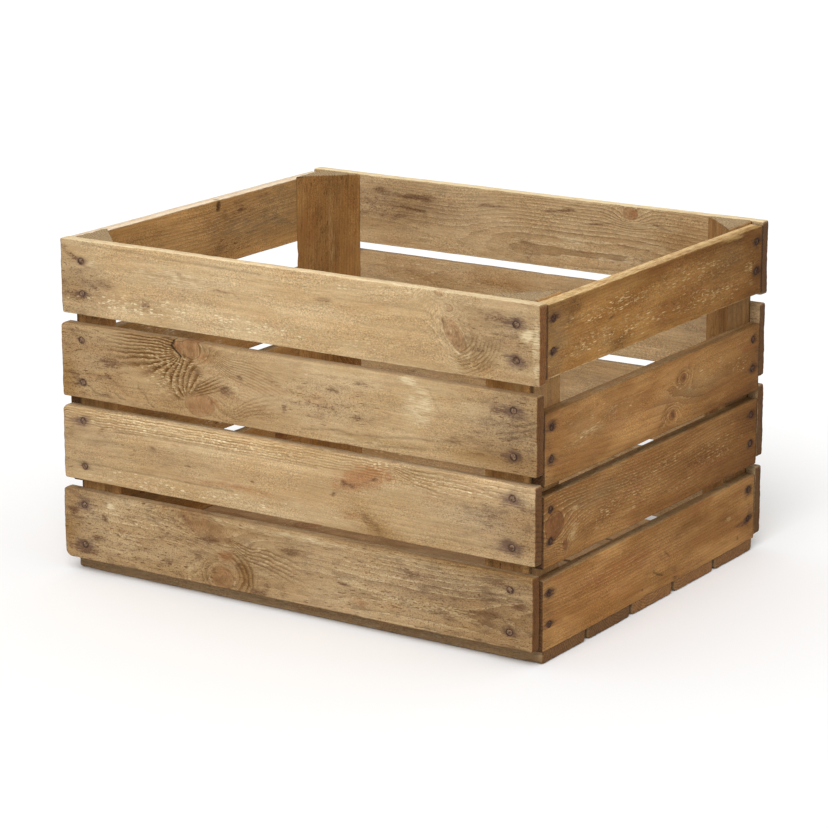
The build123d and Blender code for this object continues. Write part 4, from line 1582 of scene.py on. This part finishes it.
SLOTS = {
    "front": "side_slat_wood",
    "back": "side_slat_wood",
    "left_end": "end_slat_wood",
    "right_end": "end_slat_wood",
    "floor": "floor_wood",
    "post": "post_wood",
}
side_wood = wood("side_slat_wood_look", SIDE_TONES)
materials = {
    "front": side_wood,
    "back": side_wood,
    # The right end's woods hold painted shade, and the left end's wood holds painted light
    "left_end": wood("left_end_slat_lit_wood_look", LIT_LEFT_END_WOOD),
    "right_end": wood("right_end_slat_shaded_wood_look", SHADED_END_WOOD),
    "right_end_top_slat": wood("right_end_top_slat_shaded_wood_look", SHADED_TOP_END_WOOD),
    "floor": wood("floor_wood_look", FLOOR_TONES),
    "post": wood("post_wood_look", POST_TONES),
}
for bar, side in bars:
    bar.take_nails(heads.get(side, ()))
    bar.make(materials.get(bar.node, materials[side]), SLOTS[side])

steel = rusted_steel("nail_steel_look", srgb(146, 118, 94), srgb(92, 66, 50))
dark_steel = rusted_steel("dark_nail_steel_look", srgb(96, 66, 48), srgb(56, 36, 26))
for number, (side, outward) in enumerate(NAIL_SIDES.items()):
    seed = NAIL_SEED + NAIL_SEED_STEP * number
    make_nails(f"{side}_nails", heads[side], outward, seed, dark_steel if "_end" in side else steel)


# Floor, light and camera


def camera_ray(tree):
    """1 for rays seen straight, in a reflection or through glass."""
    path = tree.nodes.new("ShaderNodeLightPath")
    seen = path.outputs["Is Camera Ray"]
    for name in ("Is Glossy Ray", "Is Transmission Ray"):
        add = tree.nodes.new("ShaderNodeMath")
        add.operation = "MAXIMUM"
        tree.links.new(seen, add.inputs[0])
        tree.links.new(path.outputs[name], add.inputs[1])
        seen = add.outputs[0]
    return seen


def grey_level(level):
    return (level, level, level, 1.0)


def make_floor():
    half = FLOOR_SIZE / 2.0
    mesh = bpy.data.meshes.new("studio_floor")
    corners = [(-half, -half), (half, -half), (half, half), (-half, half)]
    mesh.from_pydata([(x, y, -FLOOR_DROP) for x, y in corners], [], [(0, 1, 2, 3)])
    n = Nodes("studio_floor_look")
    shown = n.mix(camera_ray(n.tree), grey_level(FLOOR_BOUNCE), grey_level(FLOOR_SHOWN))
    n.give(Base_Color=shown, Roughness=1.0, Specular_IOR_Level=0.0)
    mesh.materials.append(n.material)
    floor = bpy.data.objects.new("studio_floor", mesh)
    bpy.context.scene.collection.objects.link(floor)


def make_light():
    world = bpy.data.worlds.new("studio")
    world.use_nodes = True
    tree = world.node_tree
    background = tree.nodes["Background"]
    background.inputs["Color"].default_value = grey_level(1.0)
    level = tree.nodes.new("ShaderNodeMix")
    level.inputs["A"].default_value = WORLD_STRENGTH
    level.inputs["B"].default_value = 1.0
    tree.links.new(camera_ray(tree), level.inputs["Factor"])
    tree.links.new(level.outputs["Result"], background.inputs["Strength"])
    bpy.context.scene.world = world

    lamp = bpy.data.lights.new("key", "SUN")
    lamp.energy = KEY_STRENGTH
    lamp.angle = KEY_SPREAD
    key = bpy.data.objects.new("key", lamp)
    key.location = KEY_DIRECTION
    key.rotation_euler = KEY_DIRECTION.to_track_quat("Z", "Y").to_euler()
    bpy.context.scene.collection.objects.link(key)


def make_camera():
    level = math.cos(CAMERA_ELEVATION)
    back = Vector(
        (math.sin(CAMERA_AZIMUTH) * level, -math.cos(CAMERA_AZIMUTH) * level, math.sin(CAMERA_ELEVATION))
    )
    flat_right = Vector((math.cos(CAMERA_AZIMUTH), math.sin(CAMERA_AZIMUTH), 0.0))
    flat_up = back.cross(flat_right)
    right = math.cos(CAMERA_ROLL) * flat_right + math.sin(CAMERA_ROLL) * flat_up
    up = back.cross(right)
    place = CAMERA_TARGET + back * CAMERA_DISTANCE
    lens = bpy.data.cameras.new("photo_camera")
    lens.sensor_width = SENSOR_MM
    lens.lens = CAMERA_FOCAL_PIXELS * SENSOR_MM / IMAGE_PIXELS
    camera = bpy.data.objects.new("photo_camera", lens)
    turn = Matrix((right, up, back)).transposed()
    camera.matrix_world = Matrix.Translation(place) @ turn.to_4x4()
    bpy.context.scene.collection.objects.link(camera)
    bpy.context.scene.camera = camera


make_floor()
make_light()
make_camera()
bpy.context.scene.view_settings.view_transform = "Standard"
